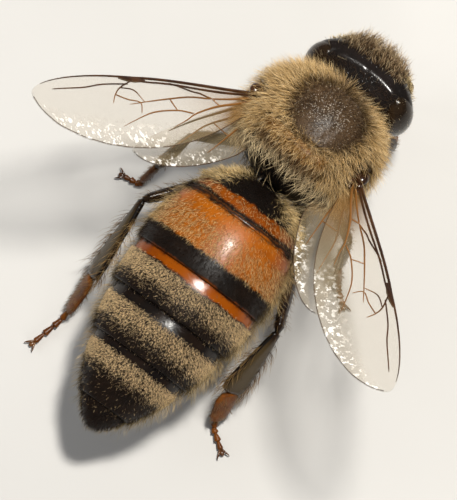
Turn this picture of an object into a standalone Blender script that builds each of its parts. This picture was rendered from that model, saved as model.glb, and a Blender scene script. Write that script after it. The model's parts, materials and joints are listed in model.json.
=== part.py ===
"""A honey bee worker at life size, standing on its six feet with both pairs of wings raised.

Lengths are millimetres and turn into metres when a mesh is made. Places are written on the
bee's own axes, (forward, left, up), from the point on the floor under the wing bases.
"""

import math
from dataclasses import dataclass

import bmesh
import bpy
from mathutils import Vector

MILLIMETRE = 0.001
SHARP_ANGLE = math.radians(40)

# Where the point under the wing bases stands, so that the whole bee is centred on the origin.
BASE_AHEAD = 3.40
BASE_LEFT = 0.52

# Thin cut left between two neighbouring pieces.
CUT = 0.06

# Body rings
TRUNK_SIDES = 26

# Abdomen, measured along its axis from the upright rim of its first segment.
RIM_CENTRE = (-2.84, 0.0, 3.06)
ABDOMEN_TIP = (-10.62, -0.58, 2.36)
ABDOMEN_NECK = -1.0
ABDOMEN_WIDEST = 1.94
ABDOMEN_HALF_WIDTH = 2.17
ABDOMEN_HALF_HEIGHT = 1.84
ABDOMEN_FRONT_POWER = 2.2
ABDOMEN_REAR_POWER = 0.68
ABDOMEN_ROUNDNESS = 2.15
SEGMENT_ENDS = (-0.52, 0.50, 2.30, 3.75, 5.25, 7.00)
SEGMENT_FLARE = 0.05
COAT_ON_ABDOMEN = 0.17
COAT_BELOW_ABDOMEN = 0.05
PETIOLE_RADIUS = 0.46
PETIOLE_GAP = 0.12
FACE_BULGE = 0.12

# Thorax with its coat
THORAX_MIDDLE = -0.05
THORAX_AHEAD = 2.15
THORAX_BEHIND = 2.05
THORAX_HALF_WIDTH = 2.60
THORAX_TOP = 5.90
THORAX_BOTTOM = 1.98
THORAX_TAIL_HEIGHT = 3.25
THORAX_POWER = 2.5
THORAX_ROUNDNESS = 2.2
THORAX_SINK_POWER = 2.2
THORAX_FRONT = 2.09
THORAX_TAIL = -1.74
SCUTELLUM_FRONT = -0.35
SCUTELLUM_BACK = -1.00
SCUTELLUM_FLOOR = 4.45
METATHORAX_BACK = -1.32
PRONOTUM_DEPTH = 0.50
PRONOTUM_BACK = -0.20

# Head with its coat: x to the left, v towards the crown, w out of the face.
HEAD_CENTRE = (2.12, -0.08, 3.30)
HEAD_PITCH = math.radians(20)
HEAD_YAW = math.radians(4)
HEAD_HALF_WIDTH = 1.90
HEAD_CROWN = 1.60
HEAD_CHIN = 1.80
HEAD_CROWN_POWER = 2.4
HEAD_CHIN_POWER = 1.75
HEAD_BACK = -0.80
CROWN_COAT = 0.22
SIDE_COAT = 0.05
HEAD_PROFILE = (
    (-0.50, 0.40),
    (-0.80, 0.68),
    (-0.72, 0.86),
    (-0.42, 0.98),
    (0.00, 1.00),
    (0.42, 0.93),
    (0.80, 0.77),
    (1.08, 0.54),
    (1.22, 0.28),
)
EYE_PLANE = 1.32
EYE_TOE_IN = math.radians(5)

# Mouthparts and feelers on the head's own axes; the right side mirrors the left.
JAW = ((0.62, -1.86, 0.10), (0.28, -2.42, 0.22))
JAW_HALF_WIDTH = 0.26
TONGUE_ROOT = (0.0, -1.90, -0.30)
TONGUE_BEND = (0.0, -2.40, -0.42)
TONGUE_TIP = (0.62, -0.16, 0.32)
TONGUE_HALF_WIDTH = 0.34
TONGUE_HALF_DEPTH = 0.32
FEELER_SOCKET = (0.26, 0.05, 1.46)
FEELER_ELBOW = (0.86, -0.86, 1.60)
FEELER_BULGE = (0.86, -1.80, 2.00)
FEELER_END = (0.56, -2.46, 1.86)
FEELER_GAP = 0.36

# Wings: length, greatest chord and the place where that chord lies
WING_THICKNESS = 0.50
WING_BASE = (0.0, 1.90, 4.10)
FOREWING_LENGTH = 8.60
FOREWING_AHEAD = 0.60
FOREWING_BEHIND = 1.92
HINDWING_LENGTH = 5.80
HINDWING_AHEAD = 0.22
HINDWING_BEHIND = 1.38
HINDWING_DROP = 0.74
WING_ROOT = 1.70
HINDWING_ROOT = 2.20
TEGULA_HALF_WIDTH = 0.30
TEGULA_LENGTH = 0.39


@dataclass(frozen=True)
class Wings:
    """How one pair of wings is held.

    Sweep from straight back, lift of the tip, roll of the chord, and fan of the hindwing.
    """

    sweep: float
    lift: float
    roll: float
    fan: float


@dataclass(frozen=True)
class Leg:
    """The joints of one leg, from the body to the claws."""

    root: tuple
    trochanter: tuple
    knee: tuple
    ankle: tuple
    sole: tuple
    claw: tuple


@dataclass(frozen=True)
class Build:
    """Half-widths of a leg's pieces, seen on their broad side."""

    femur: float
    tibia: float
    basitarsus: float


WING_POSES = {
    "left": Wings(math.radians(39.2), math.radians(39.4), math.radians(-13.2), math.radians(17)),
    "right": Wings(math.radians(47.2), math.radians(32.1), math.radians(-15.5), math.radians(18)),
}

LEGS = {
    ("front", "left"): Leg(
        root=(0.60, 0.52, 1.86),
        trochanter=(0.80, 0.86, 1.32),
        knee=(1.40, 1.72, 1.86),
        ankle=(1.95, 1.72, 0.92),
        sole=(2.28, 1.50, 0.32),
        claw=(2.64, 1.14, 0.18),
    ),
    ("front", "right"): Leg(
        root=(0.60, -0.52, 1.86),
        trochanter=(0.80, -0.86, 1.32),
        knee=(1.40, -1.66, 1.86),
        ankle=(1.90, -1.58, 0.92),
        sole=(2.22, -1.38, 0.32),
        claw=(2.60, -1.06, 0.18),
    ),
    ("middle", "left"): Leg(
        root=(-0.30, 0.62, 1.88),
        trochanter=(-0.55, 1.14, 1.42),
        knee=(-2.05, 2.86, 2.60),
        ankle=(-3.20, 3.22, 1.25),
        sole=(-3.84, 3.44, 0.32),
        claw=(-3.94, 3.92, 0.18),
    ),
    ("middle", "right"): Leg(
        root=(-0.30, -0.62, 1.88),
        trochanter=(-0.50, -1.14, 1.42),
        knee=(-1.45, -2.76, 2.75),
        ankle=(-1.95, -2.80, 1.20),
        sole=(-2.34, -3.10, 0.32),
        claw=(-2.62, -3.52, 0.18),
    ),
    ("hind", "left"): Leg(
        root=(-1.20, 0.62, 1.88),
        trochanter=(-1.86, 1.16, 1.36),
        knee=(-4.40, 2.74, 2.20),
        ankle=(-7.06, 2.46, 1.42),
        sole=(-8.42, 2.48, 0.32),
        claw=(-9.46, 2.66, 0.18),
    ),
    ("hind", "right"): Leg(
        root=(-1.20, -0.62, 1.88),
        trochanter=(-1.82, -1.30, 1.40),
        knee=(-4.82, -2.90, 2.25),
        ankle=(-6.98, -2.90, 1.32),
        sole=(-7.94, -3.06, 0.32),
        claw=(-8.30, -3.66, 0.18),
    ),
}

BUILDS = {
    "front": Build(femur=0.30, tibia=0.27, basitarsus=0.26),
    "middle": Build(femur=0.31, tibia=0.30, basitarsus=0.28),
    "hind": Build(femur=0.33, tibia=0.50, basitarsus=0.42),
}

LIMB_SIDES = 8
THIN = 0.25
COXA_RADIUS = 0.32

# Profiles of limbs: share of the length, share of the wide measure, share of the thin one
ROD_PROFILE = ((0.0, 0.8, 0.8), (0.1, 1.0, 1.0), (0.9, 1.0, 1.0), (1.0, 0.8, 0.8))
JAW_PROFILE = ((0.0, 0.9, 0.9), (0.5, 1.0, 1.0), (1.0, 0.8, 0.8))
TONGUE_PROFILE = ((0.0, 1.0, 0.9), (0.4, 1.0, 0.9), (1.0, 0.72, 0.72))
COXA_PROFILE = ((0.0, 0.9, 0.9), (0.5, 1.0, 1.0), (1.0, 0.7, 0.7))
TEGULA_PROFILE = ((0.0, 0.7, 0.7), (0.3, 1.0, 1.0), (0.8, 1.0, 1.0), (1.0, 0.7, 0.7))
WAIST_PROFILE = ((0.0, 1.0, 1.0), (1.0, 1.0, 1.0))

# Finishes: colour, roughness, metallic
FINISHES = {
    "thorax_coat": ((0.33, 0.22, 0.10), 0.85, 0.0),
    "black_shell": ((0.03, 0.02, 0.02), 0.30, 0.0),
    "orange_shell": ((0.62, 0.22, 0.03), 0.35, 0.0),
    "banded_shell": ((0.20, 0.13, 0.08), 0.50, 0.0),
    "eye": ((0.015, 0.012, 0.012), 0.18, 0.0),
    "leg": ((0.09, 0.05, 0.03), 0.40, 0.0),
    "foot": ((0.30, 0.10, 0.03), 0.45, 0.0),
    "wing": ((0.72, 0.58, 0.36), 0.25, 0.0),
}


def clear_scene():
    """Remove every object of the open file."""
    for item in list(bpy.data.objects):
        bpy.data.objects.remove(item, do_unlink=True)


def make_finishes():
    """Make one material for each finish and return them by name."""
    made = {}
    for name, (colour, roughness, metallic) in FINISHES.items():
        material = bpy.data.materials.new(name)
        material.use_nodes = True
        shader = material.node_tree.nodes["Principled BSDF"]
        shader.inputs["Base Color"].default_value = (*colour, 1.0)
        shader.inputs["Roughness"].default_value = roughness
        shader.inputs["Metallic"].default_value = metallic
        material.diffuse_color = (*colour, 1.0)
        made[name] = material
    return made


def bee(forward, left, up):
    """Turn a place on the bee's own axes into one on the model's axes, in millimetres."""
    return Vector((left + BASE_LEFT, -(forward + BASE_AHEAD), up))


def heading(forward, left, up):
    """Turn a direction on the bee's own axes into a unit vector on the model's axes."""
    return Vector((left, -forward, up)).normalized()


def superellipse(angle, across, above, below, power):
    """Return the point of a ring at an angle: across and up, rounder or squarer by the power."""
    cosine = math.cos(angle)
    sine = math.sin(angle)
    reach = (abs(cosine) ** power + abs(sine) ** power) ** (-1.0 / power)
    return across * cosine * reach, (above if sine > 0 else below) * sine * reach


def close_mesh(shape):
    """Close the open ends of a shape, turn its faces outwards and cut them to triangles."""
    open_edges = [edge for edge in shape.edges if len(edge.link_faces) == 1]
    if open_edges:
        bmesh.ops.holes_fill(shape, edges=open_edges, sides=0)
    bmesh.ops.recalc_face_normals(shape, faces=shape.faces)
    bmesh.ops.triangulate(shape, faces=shape.faces)
    if shape.calc_volume(signed=True) < 0:
        bmesh.ops.reverse_faces(shape, faces=shape.faces)
    return shape


def loft(rings):
    """Skin a row of rings, each with the same number of points, and close both ends."""
    shape = bmesh.new()
    rows = [[shape.verts.new(point) for point in ring] for ring in rings]
    count = len(rings[0])
    for lower, upper in zip(rows, rows[1:]):
        for i in range(count):
            j = (i + 1) % count
            shape.faces.new((lower[i], lower[j], upper[j], upper[i]))
    return close_mesh(shape)


def keep_side(shape, point, normal):
    """Cut a closed shape by a plane, drop what the normal points to, and close the cut."""
    everything = list(shape.verts) + list(shape.edges) + list(shape.faces)
    bmesh.ops.bisect_plane(
        shape, geom=everything, dist=1e-6, plane_co=point, plane_no=normal, clear_outer=True
    )
    return close_mesh(shape)


def add_piece(name, shape, finish):
    """Make a named object from a shape in millimetres, shaded smooth over its rounds."""
    for vert in shape.verts:
        vert.co *= MILLIMETRE
    mesh = bpy.data.meshes.new(name)
    shape.to_mesh(mesh)
    shape.free()
    mesh.materials.append(finish)
    mesh.shade_smooth()
    mesh.set_sharp_from_angle(angle=SHARP_ANGLE)
    piece = bpy.data.objects.new(name, mesh)
    bpy.context.scene.collection.objects.link(piece)
    return piece


# Abdomen


def abdomen_axes():
    """Return the abdomen's start, its direction to the tip, its side and its upper direction."""
    start = bee(*RIM_CENTRE)
    along = bee(*ABDOMEN_TIP) - start
    direction = along.normalized()
    side = direction.cross(Vector((0, 0, 1))).normalized()
    upward = side.cross(direction).normalized()
    return start, direction, side, upward, along.length


def abdomen_swell(station, length):
    """Return how full the abdomen is at a station along its axis, from 0 to 1."""
    if station < ABDOMEN_WIDEST:
        share = (station - ABDOMEN_NECK) / (ABDOMEN_WIDEST - ABDOMEN_NECK)
        return (1 - (1 - share) ** ABDOMEN_FRONT_POWER) ** (1 / ABDOMEN_FRONT_POWER)
    share = min(1.0, (station - ABDOMEN_WIDEST) / (length - ABDOMEN_WIDEST))
    return (1 - share * share) ** ABDOMEN_REAR_POWER


def abdomen_ring(station, grow=0.0, shrink=1.0):
    """Return one cross-section of the abdomen with its coat."""
    start, direction, side, upward, length = abdomen_axes()
    swell = abdomen_swell(station, length) * shrink
    across = ABDOMEN_HALF_WIDTH * swell + COAT_ON_ABDOMEN + grow
    above = ABDOMEN_HALF_HEIGHT * swell + COAT_ON_ABDOMEN + grow
    below = ABDOMEN_HALF_HEIGHT * swell + COAT_BELOW_ABDOMEN + grow
    ring = []
    for i in range(TRUNK_SIDES):
        x, y = superellipse(2 * math.pi * i / TRUNK_SIDES, across, above, below, ABDOMEN_ROUNDNESS)
        ring.append(start + direction * station + side * x + upward * y)
    return ring


def make_abdomen(finishes):
    """Make the petiole and the six segments, each flared at its hind edge."""
    start, direction, side, upward, length = abdomen_axes()
    ends = (*SEGMENT_ENDS, length)
    looks = ("orange_shell", "orange_shell", *["banded_shell"] * 2, *["black_shell"] * 2)
    for number in range(1, 7):
        front = ends[number - 1] + CUT / 2
        back = ends[number] - CUT / 2
        if number == 1:
            rings = [abdomen_ring(front - FACE_BULGE, shrink=0.45), abdomen_ring(front)]
            shares = (0.25, 0.6, 1.0)
        elif number == 6:
            rings = [abdomen_ring(front)]
            shares = (0.4, 0.75, 0.94)
        else:
            rings = [abdomen_ring(front)]
            shares = (0.33, 0.67, 1.0)
        for share in shares:
            flare = SEGMENT_FLARE * share if number < 6 else 0.0
            rings.append(abdomen_ring(front + (back - front) * share, grow=flare))
        add_piece(f"abdomen_{number}", loft(rings), finishes[looks[number - 1]])
    waist = [
        bee(THORAX_TAIL - PETIOLE_GAP, 0, THORAX_TAIL_HEIGHT - PETIOLE_GAP),
        start + direction * (SEGMENT_ENDS[0] - FACE_BULGE - CUT),
    ]
    tube = limb(waist, WAIST_PROFILE, PETIOLE_RADIUS, PETIOLE_RADIUS)
    add_piece("petiole", tube, finishes["black_shell"])


# Thorax


def thorax_ring(forward):
    """Return one upright cross-section of the thorax with its coat."""
    reach = THORAX_AHEAD if forward > THORAX_MIDDLE else THORAX_BEHIND
    share = abs(forward - THORAX_MIDDLE) / reach
    swell = max(0.0, 1 - share**THORAX_POWER) ** (1 / THORAX_POWER)
    middle = (THORAX_TOP + THORAX_BOTTOM) / 2
    half = (THORAX_TOP - THORAX_BOTTOM) / 2
    if forward < THORAX_MIDDLE:
        middle += (THORAX_TAIL_HEIGHT - middle) * share**THORAX_SINK_POWER
    across = THORAX_HALF_WIDTH * swell
    ring = []
    for i in range(TRUNK_SIDES):
        angle = 2 * math.pi * i / TRUNK_SIDES
        x, y = superellipse(angle, across, half * swell, half * swell, THORAX_ROUNDNESS)
        ring.append(bee(forward, -x, middle + y))
    return ring


def thorax_between(back, front):
    """Return the whole thorax form between two places along the body."""
    steps = 7
    spots = [back + (front - back) * i / steps for i in range(steps + 1)]
    return loft([thorax_ring(spot) for spot in spots])


def neck_plane(depth):
    """Return a plane parallel to the back of the head, some depth behind the head's middle."""
    middle, _, _, face = head_axes()
    return middle + face * depth, face


def make_thorax(finishes):
    """Part the thorax by thin cuts into collar, back and flanks, scutellum and rear."""
    coat = finishes["thorax_coat"]
    neck, face = neck_plane(HEAD_BACK - CUT)
    collar, _ = neck_plane(HEAD_BACK - CUT - PRONOTUM_DEPTH)
    pronotum = keep_side(thorax_between(PRONOTUM_BACK, THORAX_FRONT), neck, face)
    add_piece("pronotum", keep_side(pronotum, collar, -face), coat)
    mesothorax = thorax_between(SCUTELLUM_FRONT, THORAX_FRONT)
    add_piece("mesothorax", keep_side(mesothorax, collar - face * CUT, face), coat)
    level = bee(0, 0, SCUTELLUM_FLOOR)
    upwards = Vector((0, 0, 1))
    crest = thorax_between(SCUTELLUM_BACK, SCUTELLUM_FRONT - CUT)
    add_piece("scutellum", keep_side(crest, level, -upwards), coat)
    flanks = thorax_between(SCUTELLUM_BACK, SCUTELLUM_FRONT - CUT)
    add_piece("thorax_sides", keep_side(flanks, level - upwards * CUT, upwards), coat)
    add_piece("metathorax", thorax_between(METATHORAX_BACK, SCUTELLUM_BACK - CUT), coat)
    add_piece("propodeum", thorax_between(THORAX_TAIL, METATHORAX_BACK - CUT), coat)


# Head


def head_axes():
    """Return the head's middle and its left, crown and face directions."""
    left = heading(-math.sin(HEAD_YAW), math.cos(HEAD_YAW), 0)
    flat = math.cos(HEAD_PITCH)
    face = heading(flat * math.cos(HEAD_YAW), flat * math.sin(HEAD_YAW), -math.sin(HEAD_PITCH))
    return bee(*HEAD_CENTRE), left, face.cross(left).normalized(), face


def head_place(x, v, w):
    """Return the place of a point given on the head's own axes."""
    middle, left, crown, face = head_axes()
    return middle + left * x + crown * v + face * w


def mirrored(spot, sign):
    """Return the place of a point on the head's left side, or of its mirror point on the right."""
    return head_place(sign * spot[0], spot[1], spot[2])


def head_form(crown_coat, side_coat):
    """Return the head as a closed form, hollowed at the back where the neck meets it."""
    rings = []
    for depth, share in HEAD_PROFILE:
        ring = []
        for i in range(TRUNK_SIDES):
            angle = 2 * math.pi * i / TRUNK_SIDES
            power = HEAD_CROWN_POWER if math.sin(angle) > 0 else HEAD_CHIN_POWER
            x, v = superellipse(
                angle,
                (HEAD_HALF_WIDTH + side_coat) * share,
                (HEAD_CROWN + crown_coat) * share,
                HEAD_CHIN * share,
                power,
            )
            ring.append(head_place(x, v, depth))
        rings.append(ring)
    return loft(rings)


def eye_cut(side, inset):
    """Return the plane that parts an eye from the head, turned in a little at the bottom."""
    sign = 1 if side == "left" else -1
    _, left, crown, _ = head_axes()
    outward = (left * sign * math.cos(EYE_TOE_IN) + crown * math.sin(EYE_TOE_IN)).normalized()
    return head_place(sign * (EYE_PLANE + inset), 0, 0), outward


def make_head(finishes):
    """Make the head, its eyes, jaws, tongue and feelers."""
    skull = head_form(CROWN_COAT, SIDE_COAT)
    for side in ("left", "right"):
        point, outward = eye_cut(side, -CUT / 2)
        skull = keep_side(skull, point, outward)
    add_piece("head", skull, finishes["thorax_coat"])
    for side, sign in (("left", 1), ("right", -1)):
        point, outward = eye_cut(side, CUT / 2)
        add_piece(f"eye_{side}", keep_side(head_form(0, 0), point, -outward), finishes["eye"])
        jaw = [mirrored(spot, sign) for spot in JAW]
        shape = limb(jaw, JAW_PROFILE, JAW_HALF_WIDTH, THIN)
        add_piece(f"mandible_{side}", shape, finishes["foot"])
        elbow = mirrored(FEELER_ELBOW, sign)
        scape = limb([mirrored(FEELER_SOCKET, sign), elbow], ROD_PROFILE, THIN, THIN)
        add_piece(f"scape_{side}", scape, finishes["black_shell"])
        lash = arc_points(elbow, mirrored(FEELER_BULGE, sign), mirrored(FEELER_END, sign), 6)
        lash[0] += (lash[1] - lash[0]).normalized() * FEELER_GAP
        flagellum = limb(lash, ROD_PROFILE, THIN, THIN)
        add_piece(f"flagellum_{side}", flagellum, finishes["black_shell"])
    tongue = [head_place(*TONGUE_ROOT), head_place(*TONGUE_BEND), bee(*TONGUE_TIP)]
    shape = limb(tongue, TONGUE_PROFILE, TONGUE_HALF_WIDTH, TONGUE_HALF_DEPTH)
    add_piece("proboscis", shape, finishes["foot"])


# Limbs


def arc_points(start, middle, end, steps):
    """Return points along the smooth curve that starts and ends as given and passes the middle."""
    control = middle * 2 - (start + end) / 2
    points = []
    for i in range(steps + 1):
        t = i / steps
        points.append(start * (1 - t) ** 2 + control * 2 * t * (1 - t) + end * t * t)
    return points


def limb(points, profile, wide, thin):
    """Skin a limb along points, with its wide measure upright and its thin one level.

    The profile lists (share of length, share of wide, share of thin).
    """
    lengths = [0.0]
    for a, b in zip(points, points[1:]):
        lengths.append(lengths[-1] + (b - a).length)
    spots = sorted({share for share, _, _ in profile} | {d / lengths[-1] for d in lengths})
    rings = []
    for spot in spots:
        place, run = place_along(points, lengths, spot * lengths[-1])
        side = run.cross(Vector((0, 0, 1))).normalized()
        upright = side.cross(run).normalized()
        half_wide = wide * share_at(profile, spot, 1)
        half_thin = thin * share_at(profile, spot, 2)
        ring = []
        for i in range(LIMB_SIDES):
            angle = 2 * math.pi * i / LIMB_SIDES
            ring.append(
                place + upright * half_wide * math.cos(angle) + side * half_thin * math.sin(angle)
            )
        rings.append(ring)
    return loft(rings)


def place_along(points, lengths, distance):
    """Return the place at a distance along points, and the direction of travel there."""
    for k in range(len(points) - 1):
        if distance <= lengths[k + 1] + 1e-9 or k == len(points) - 2:
            span = lengths[k + 1] - lengths[k]
            here = (points[k + 1] - points[k]).normalized()
            share = min(1.0, (distance - lengths[k]) / span)
            run = here.copy()
            if share > 1 - 1e-6 and k + 2 < len(points):
                run = (here + (points[k + 2] - points[k + 1]).normalized()).normalized()
            return points[k] + (points[k + 1] - points[k]) * share, run
    return points[-1], (points[-1] - points[-2]).normalized()


def share_at(profile, spot, column):
    """Read one column of a limb's profile at a share of its length."""
    for low, high in zip(profile, profile[1:]):
        if spot <= high[0] + 1e-9:
            t = (spot - low[0]) / (high[0] - low[0])
            return low[column] + (high[column] - low[column]) * min(1.0, max(0.0, t))
    return profile[-1][column]


def shortened(start, end, at_start, at_end):
    """Return the run between two joints, held back from each by a given length."""
    run = (end - start).normalized()
    return start + run * at_start, end - run * at_end


def slim_ends(middle, slim):
    """Return a limb's profile: slim at both ends and full over its middle stretch."""
    start, stop = middle
    return [
        (0.0, slim * 0.7, 0.7),
        (start * 0.5, slim, 1.0),
        (start, 1.0, 1.0),
        (stop, 1.0, 1.0),
        (0.95, 0.8 + 0.2 * slim, 1.0),
        (1.0, 0.6, 0.7),
    ]


def make_leg(pair, side, finishes):
    """Make one leg: coxa, femur, tibia and a foot with a flat sole."""
    leg = LEGS[pair, side]
    build = BUILDS[pair]
    root, trochanter = bee(*leg.root), bee(*leg.trochanter)
    knee, ankle = bee(*leg.knee), bee(*leg.ankle)
    sole, claw = bee(*leg.sole), bee(*leg.claw)

    coxa = limb(shortened(root, trochanter, 0.0, 0.06), COXA_PROFILE, COXA_RADIUS, THIN)
    add_piece(f"{pair}_coxa_{side}", coxa, finishes["leg"])

    club = slim_ends((0.3, 0.6), 0.85)
    femur = limb(shortened(trochanter, knee, 0.20, 0.08), club, build.femur, THIN)
    add_piece(f"{pair}_femur_{side}", femur, finishes["leg"])

    paddle = slim_ends((0.6, 0.85), THIN / build.tibia)
    tibia = limb(shortened(knee, ankle, 0.14, 0.03), paddle, build.tibia, THIN)
    add_piece(f"{pair}_tibia_{side}", tibia, finishes["leg"])

    heel, _ = shortened(ankle, sole, 0.08, 0.0)
    bend = (sole - heel).length / ((sole - heel).length + (claw - sole).length)
    slim = THIN / build.basitarsus
    outline = [
        (0.0, slim * 0.7, 0.7),
        (bend * 0.2, 1.0, 1.0),
        (bend * 0.8, 0.95, 1.0),
        (bend, slim, 1.0),
        (0.96, slim, 1.0),
        (1.0, slim * 0.7, 0.7),
    ]
    foot = limb([heel, sole, claw], outline, build.basitarsus, THIN)
    foot = keep_side(foot, Vector((0, 0, 0)), Vector((0, 0, -1)))
    add_piece(f"{pair}_tarsus_{side}", foot, finishes["foot"])


# Wings


def wing_axes(side):
    """Return a wing pair's root, its run to the tip, its run to the hind edge and its upper face."""
    pose = WING_POSES[side]
    sign = 1 if side == "left" else -1
    root = bee(WING_BASE[0], sign * WING_BASE[1], WING_BASE[2])
    flat = math.cos(pose.lift)
    run = heading(-flat * math.cos(pose.sweep), sign * flat * math.sin(pose.sweep), math.sin(pose.lift))
    level = heading(-math.sin(pose.sweep), -sign * math.cos(pose.sweep), 0)
    upright = (Vector((0, 0, 1)) - run * run.z).normalized()
    chord = (level * math.cos(pose.roll) - upright * math.sin(pose.roll)).normalized()
    face = run.cross(chord).normalized()
    if face.z < 0:
        face = -face
    return root, run, chord, face


def wing_bulge(share, widest, rise, fall):
    """Return how far an edge stands out, from 0 to 1, at a share of the wing's length."""
    if share < widest:
        return math.sin(math.pi / 2 * share / widest) ** rise
    return math.sqrt(max(0.0, 1 - ((share - widest) / (1 - widest)) ** fall))


def forewing_edges(share):
    """Return a forewing's front and hind edge, measured from its axis, at a share of its length."""
    front = FOREWING_AHEAD * wing_bulge(share, 0.70, 1.3, 2.2)
    hind = FOREWING_BEHIND * (0.10 * (1 - share) + 0.90 * wing_bulge(share, 0.60, 0.9, 2.1))
    return -front, hind


def hindwing_edges(share):
    """Return a hindwing's front and hind edge, measured from its axis, at a share of its length."""
    front = HINDWING_AHEAD * wing_bulge(share, 0.60, 1.0, 2.2)
    hind = HINDWING_BEHIND * (0.15 * (1 - share) + 0.85 * wing_bulge(share, 0.42, 0.8, 2.0))
    return -front, hind


def wing_plate(edges, length, first, place):
    """Make a wing's outline into a plate of even thickness."""
    stations = [first + (1 - first) * math.sin(math.pi / 2 * i / 11) for i in range(12)]
    front = [(share * length, edges(share)[0]) for share in stations]
    hind = [(share * length, edges(share)[1]) for share in reversed(stations[:-1])]
    rings = []
    for lift in (-WING_THICKNESS / 2, WING_THICKNESS / 2):
        rings.append([place(along, across, lift) for along, across in front + hind])
    return loft(rings)


def make_wings(side, finishes):
    """Make one side's forewing, hindwing and the scale over their root."""
    root, run, chord, face = wing_axes(side)
    fan = WING_POSES[side].fan
    turned = run * math.cos(fan) + chord * math.sin(fan)
    across_turned = chord * math.cos(fan) - run * math.sin(fan)
    hind_root = root - Vector((0, 0, HINDWING_DROP))

    def on_forewing(along, across, lift):
        return root + run * along + chord * across + face * lift

    def on_hindwing(along, across, lift):
        return hind_root + turned * along + across_turned * across + face * lift

    first = WING_ROOT / FOREWING_LENGTH
    plate = wing_plate(forewing_edges, FOREWING_LENGTH, first, on_forewing)
    add_piece(f"forewing_{side}", plate, finishes["wing"])
    first = HINDWING_ROOT / HINDWING_LENGTH
    plate = wing_plate(hindwing_edges, HINDWING_LENGTH, first, on_hindwing)
    add_piece(f"hindwing_{side}", plate, finishes["wing"])
    end = WING_ROOT - CUT
    scale = [root + run * (end - TEGULA_LENGTH), root + run * end]
    shape = limb(scale, TEGULA_PROFILE, TEGULA_HALF_WIDTH, THIN)
    add_piece(f"tegula_{side}", shape, finishes["black_shell"])


def main():
    """Build the whole bee."""
    clear_scene()
    finishes = make_finishes()
    make_abdomen(finishes)
    make_thorax(finishes)
    make_head(finishes)
    for side in ("left", "right"):
        make_wings(side, finishes)
        for pair in ("front", "middle", "hind"):
            make_leg(pair, side, finishes)


main()
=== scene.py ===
"""The looks of a life-size honey bee worker that stands on its feet with its wings raised.

Everything is worked out in millimetres on the model's axes and turns into metres when a mesh
is made. Places on the bee's own axes are (forward, left, up) from under the wing bases.
"""

import json
import logging
import math
from collections.abc import Callable, Sequence
from dataclasses import dataclass, field
from enum import Enum

import bpy
import numpy as np
from mathutils import Matrix, Vector

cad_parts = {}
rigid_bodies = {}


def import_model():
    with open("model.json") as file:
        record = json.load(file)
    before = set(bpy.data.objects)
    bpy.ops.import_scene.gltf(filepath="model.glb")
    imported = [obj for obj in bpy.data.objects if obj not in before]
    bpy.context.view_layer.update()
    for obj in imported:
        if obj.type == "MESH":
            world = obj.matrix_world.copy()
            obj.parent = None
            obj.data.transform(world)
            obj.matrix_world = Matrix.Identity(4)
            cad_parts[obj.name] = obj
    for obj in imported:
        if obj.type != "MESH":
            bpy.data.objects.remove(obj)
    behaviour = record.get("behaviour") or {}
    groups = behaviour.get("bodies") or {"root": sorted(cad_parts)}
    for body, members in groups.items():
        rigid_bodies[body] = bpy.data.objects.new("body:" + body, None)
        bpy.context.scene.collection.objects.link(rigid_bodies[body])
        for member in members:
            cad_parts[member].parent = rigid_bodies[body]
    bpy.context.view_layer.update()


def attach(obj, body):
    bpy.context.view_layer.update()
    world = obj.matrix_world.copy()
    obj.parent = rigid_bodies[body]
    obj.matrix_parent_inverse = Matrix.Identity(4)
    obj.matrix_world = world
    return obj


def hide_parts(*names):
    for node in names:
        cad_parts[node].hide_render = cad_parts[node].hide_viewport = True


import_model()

Array = np.ndarray
Colour = tuple[float, float, float]
Place = tuple[float, float, float]
Tile = tuple[float, float, float]
Pair = tuple[float, float]
Pairs = tuple[Pair, ...]
Material = bpy.types.Material
Profile = Sequence[tuple[float, ...]]
LOG = logging.getLogger("honey_bee")

MILLIMETRE = 0.001
BODY = "root"
FULL_TURN = 2 * math.pi
UP = np.array([0, 0, 1.0])

# Where the middle of the wing bases lies from the model's origin
BASE_AHEAD = 3.40
BASE_LEFT = 0.52


class Slot(Enum):
    """The record's material slots."""

    COAT = "coat"
    ORANGE = "shell_orange"
    BANDED = "shell_banded"
    BLACK = "shell_black"
    EYE = "eye"
    LEG = "leg"
    FOOT = "foot"
    WING = "wing"


class Side(Enum):
    """The two sides of the bee; the value is the sign of its left axis."""

    LEFT = 1
    RIGHT = -1

    @property
    def word(self) -> str:
        """The side's name as the nodes use it."""
        return self.name.lower()


# Places and curves


def unit(vectors: Array) -> Array:
    """Scale vectors to length one."""
    return vectors / np.maximum(np.linalg.norm(vectors, axis=-1, keepdims=True), 1e-12)


def bee(forward: Array, left: Array, up: Array) -> Array:
    """Turn places on the bee's own axes into places on the model's axes."""
    forward, left, up = np.broadcast_arrays(forward, left, up)
    return np.stack([left + BASE_LEFT, -(forward + BASE_AHEAD), up], axis=-1).astype(float)


def heading(forward: float, left: float, up: float) -> Array:
    """Turn a direction on the bee's own axes into a unit vector on the model's axes."""
    return unit(np.array([left, -forward, up], float))


def superellipse(angle: Array, across: Array, above: Array, below: Array, power: Array) -> Sequence[Array]:
    """Return distances across and up on a ring, an ellipse for power 2 and squarer for more."""
    reach = (np.abs(np.cos(angle)) ** power + np.abs(np.sin(angle)) ** power) ** (-1.0 / power)
    height = np.where(np.sin(angle) > 0, above, below) * np.sin(angle) * reach
    return across * np.cos(angle) * reach, height


def ring_angles(count: int) -> Array:
    """Return evenly spaced angles round a circle."""
    return FULL_TURN * np.arange(count) / count


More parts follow.
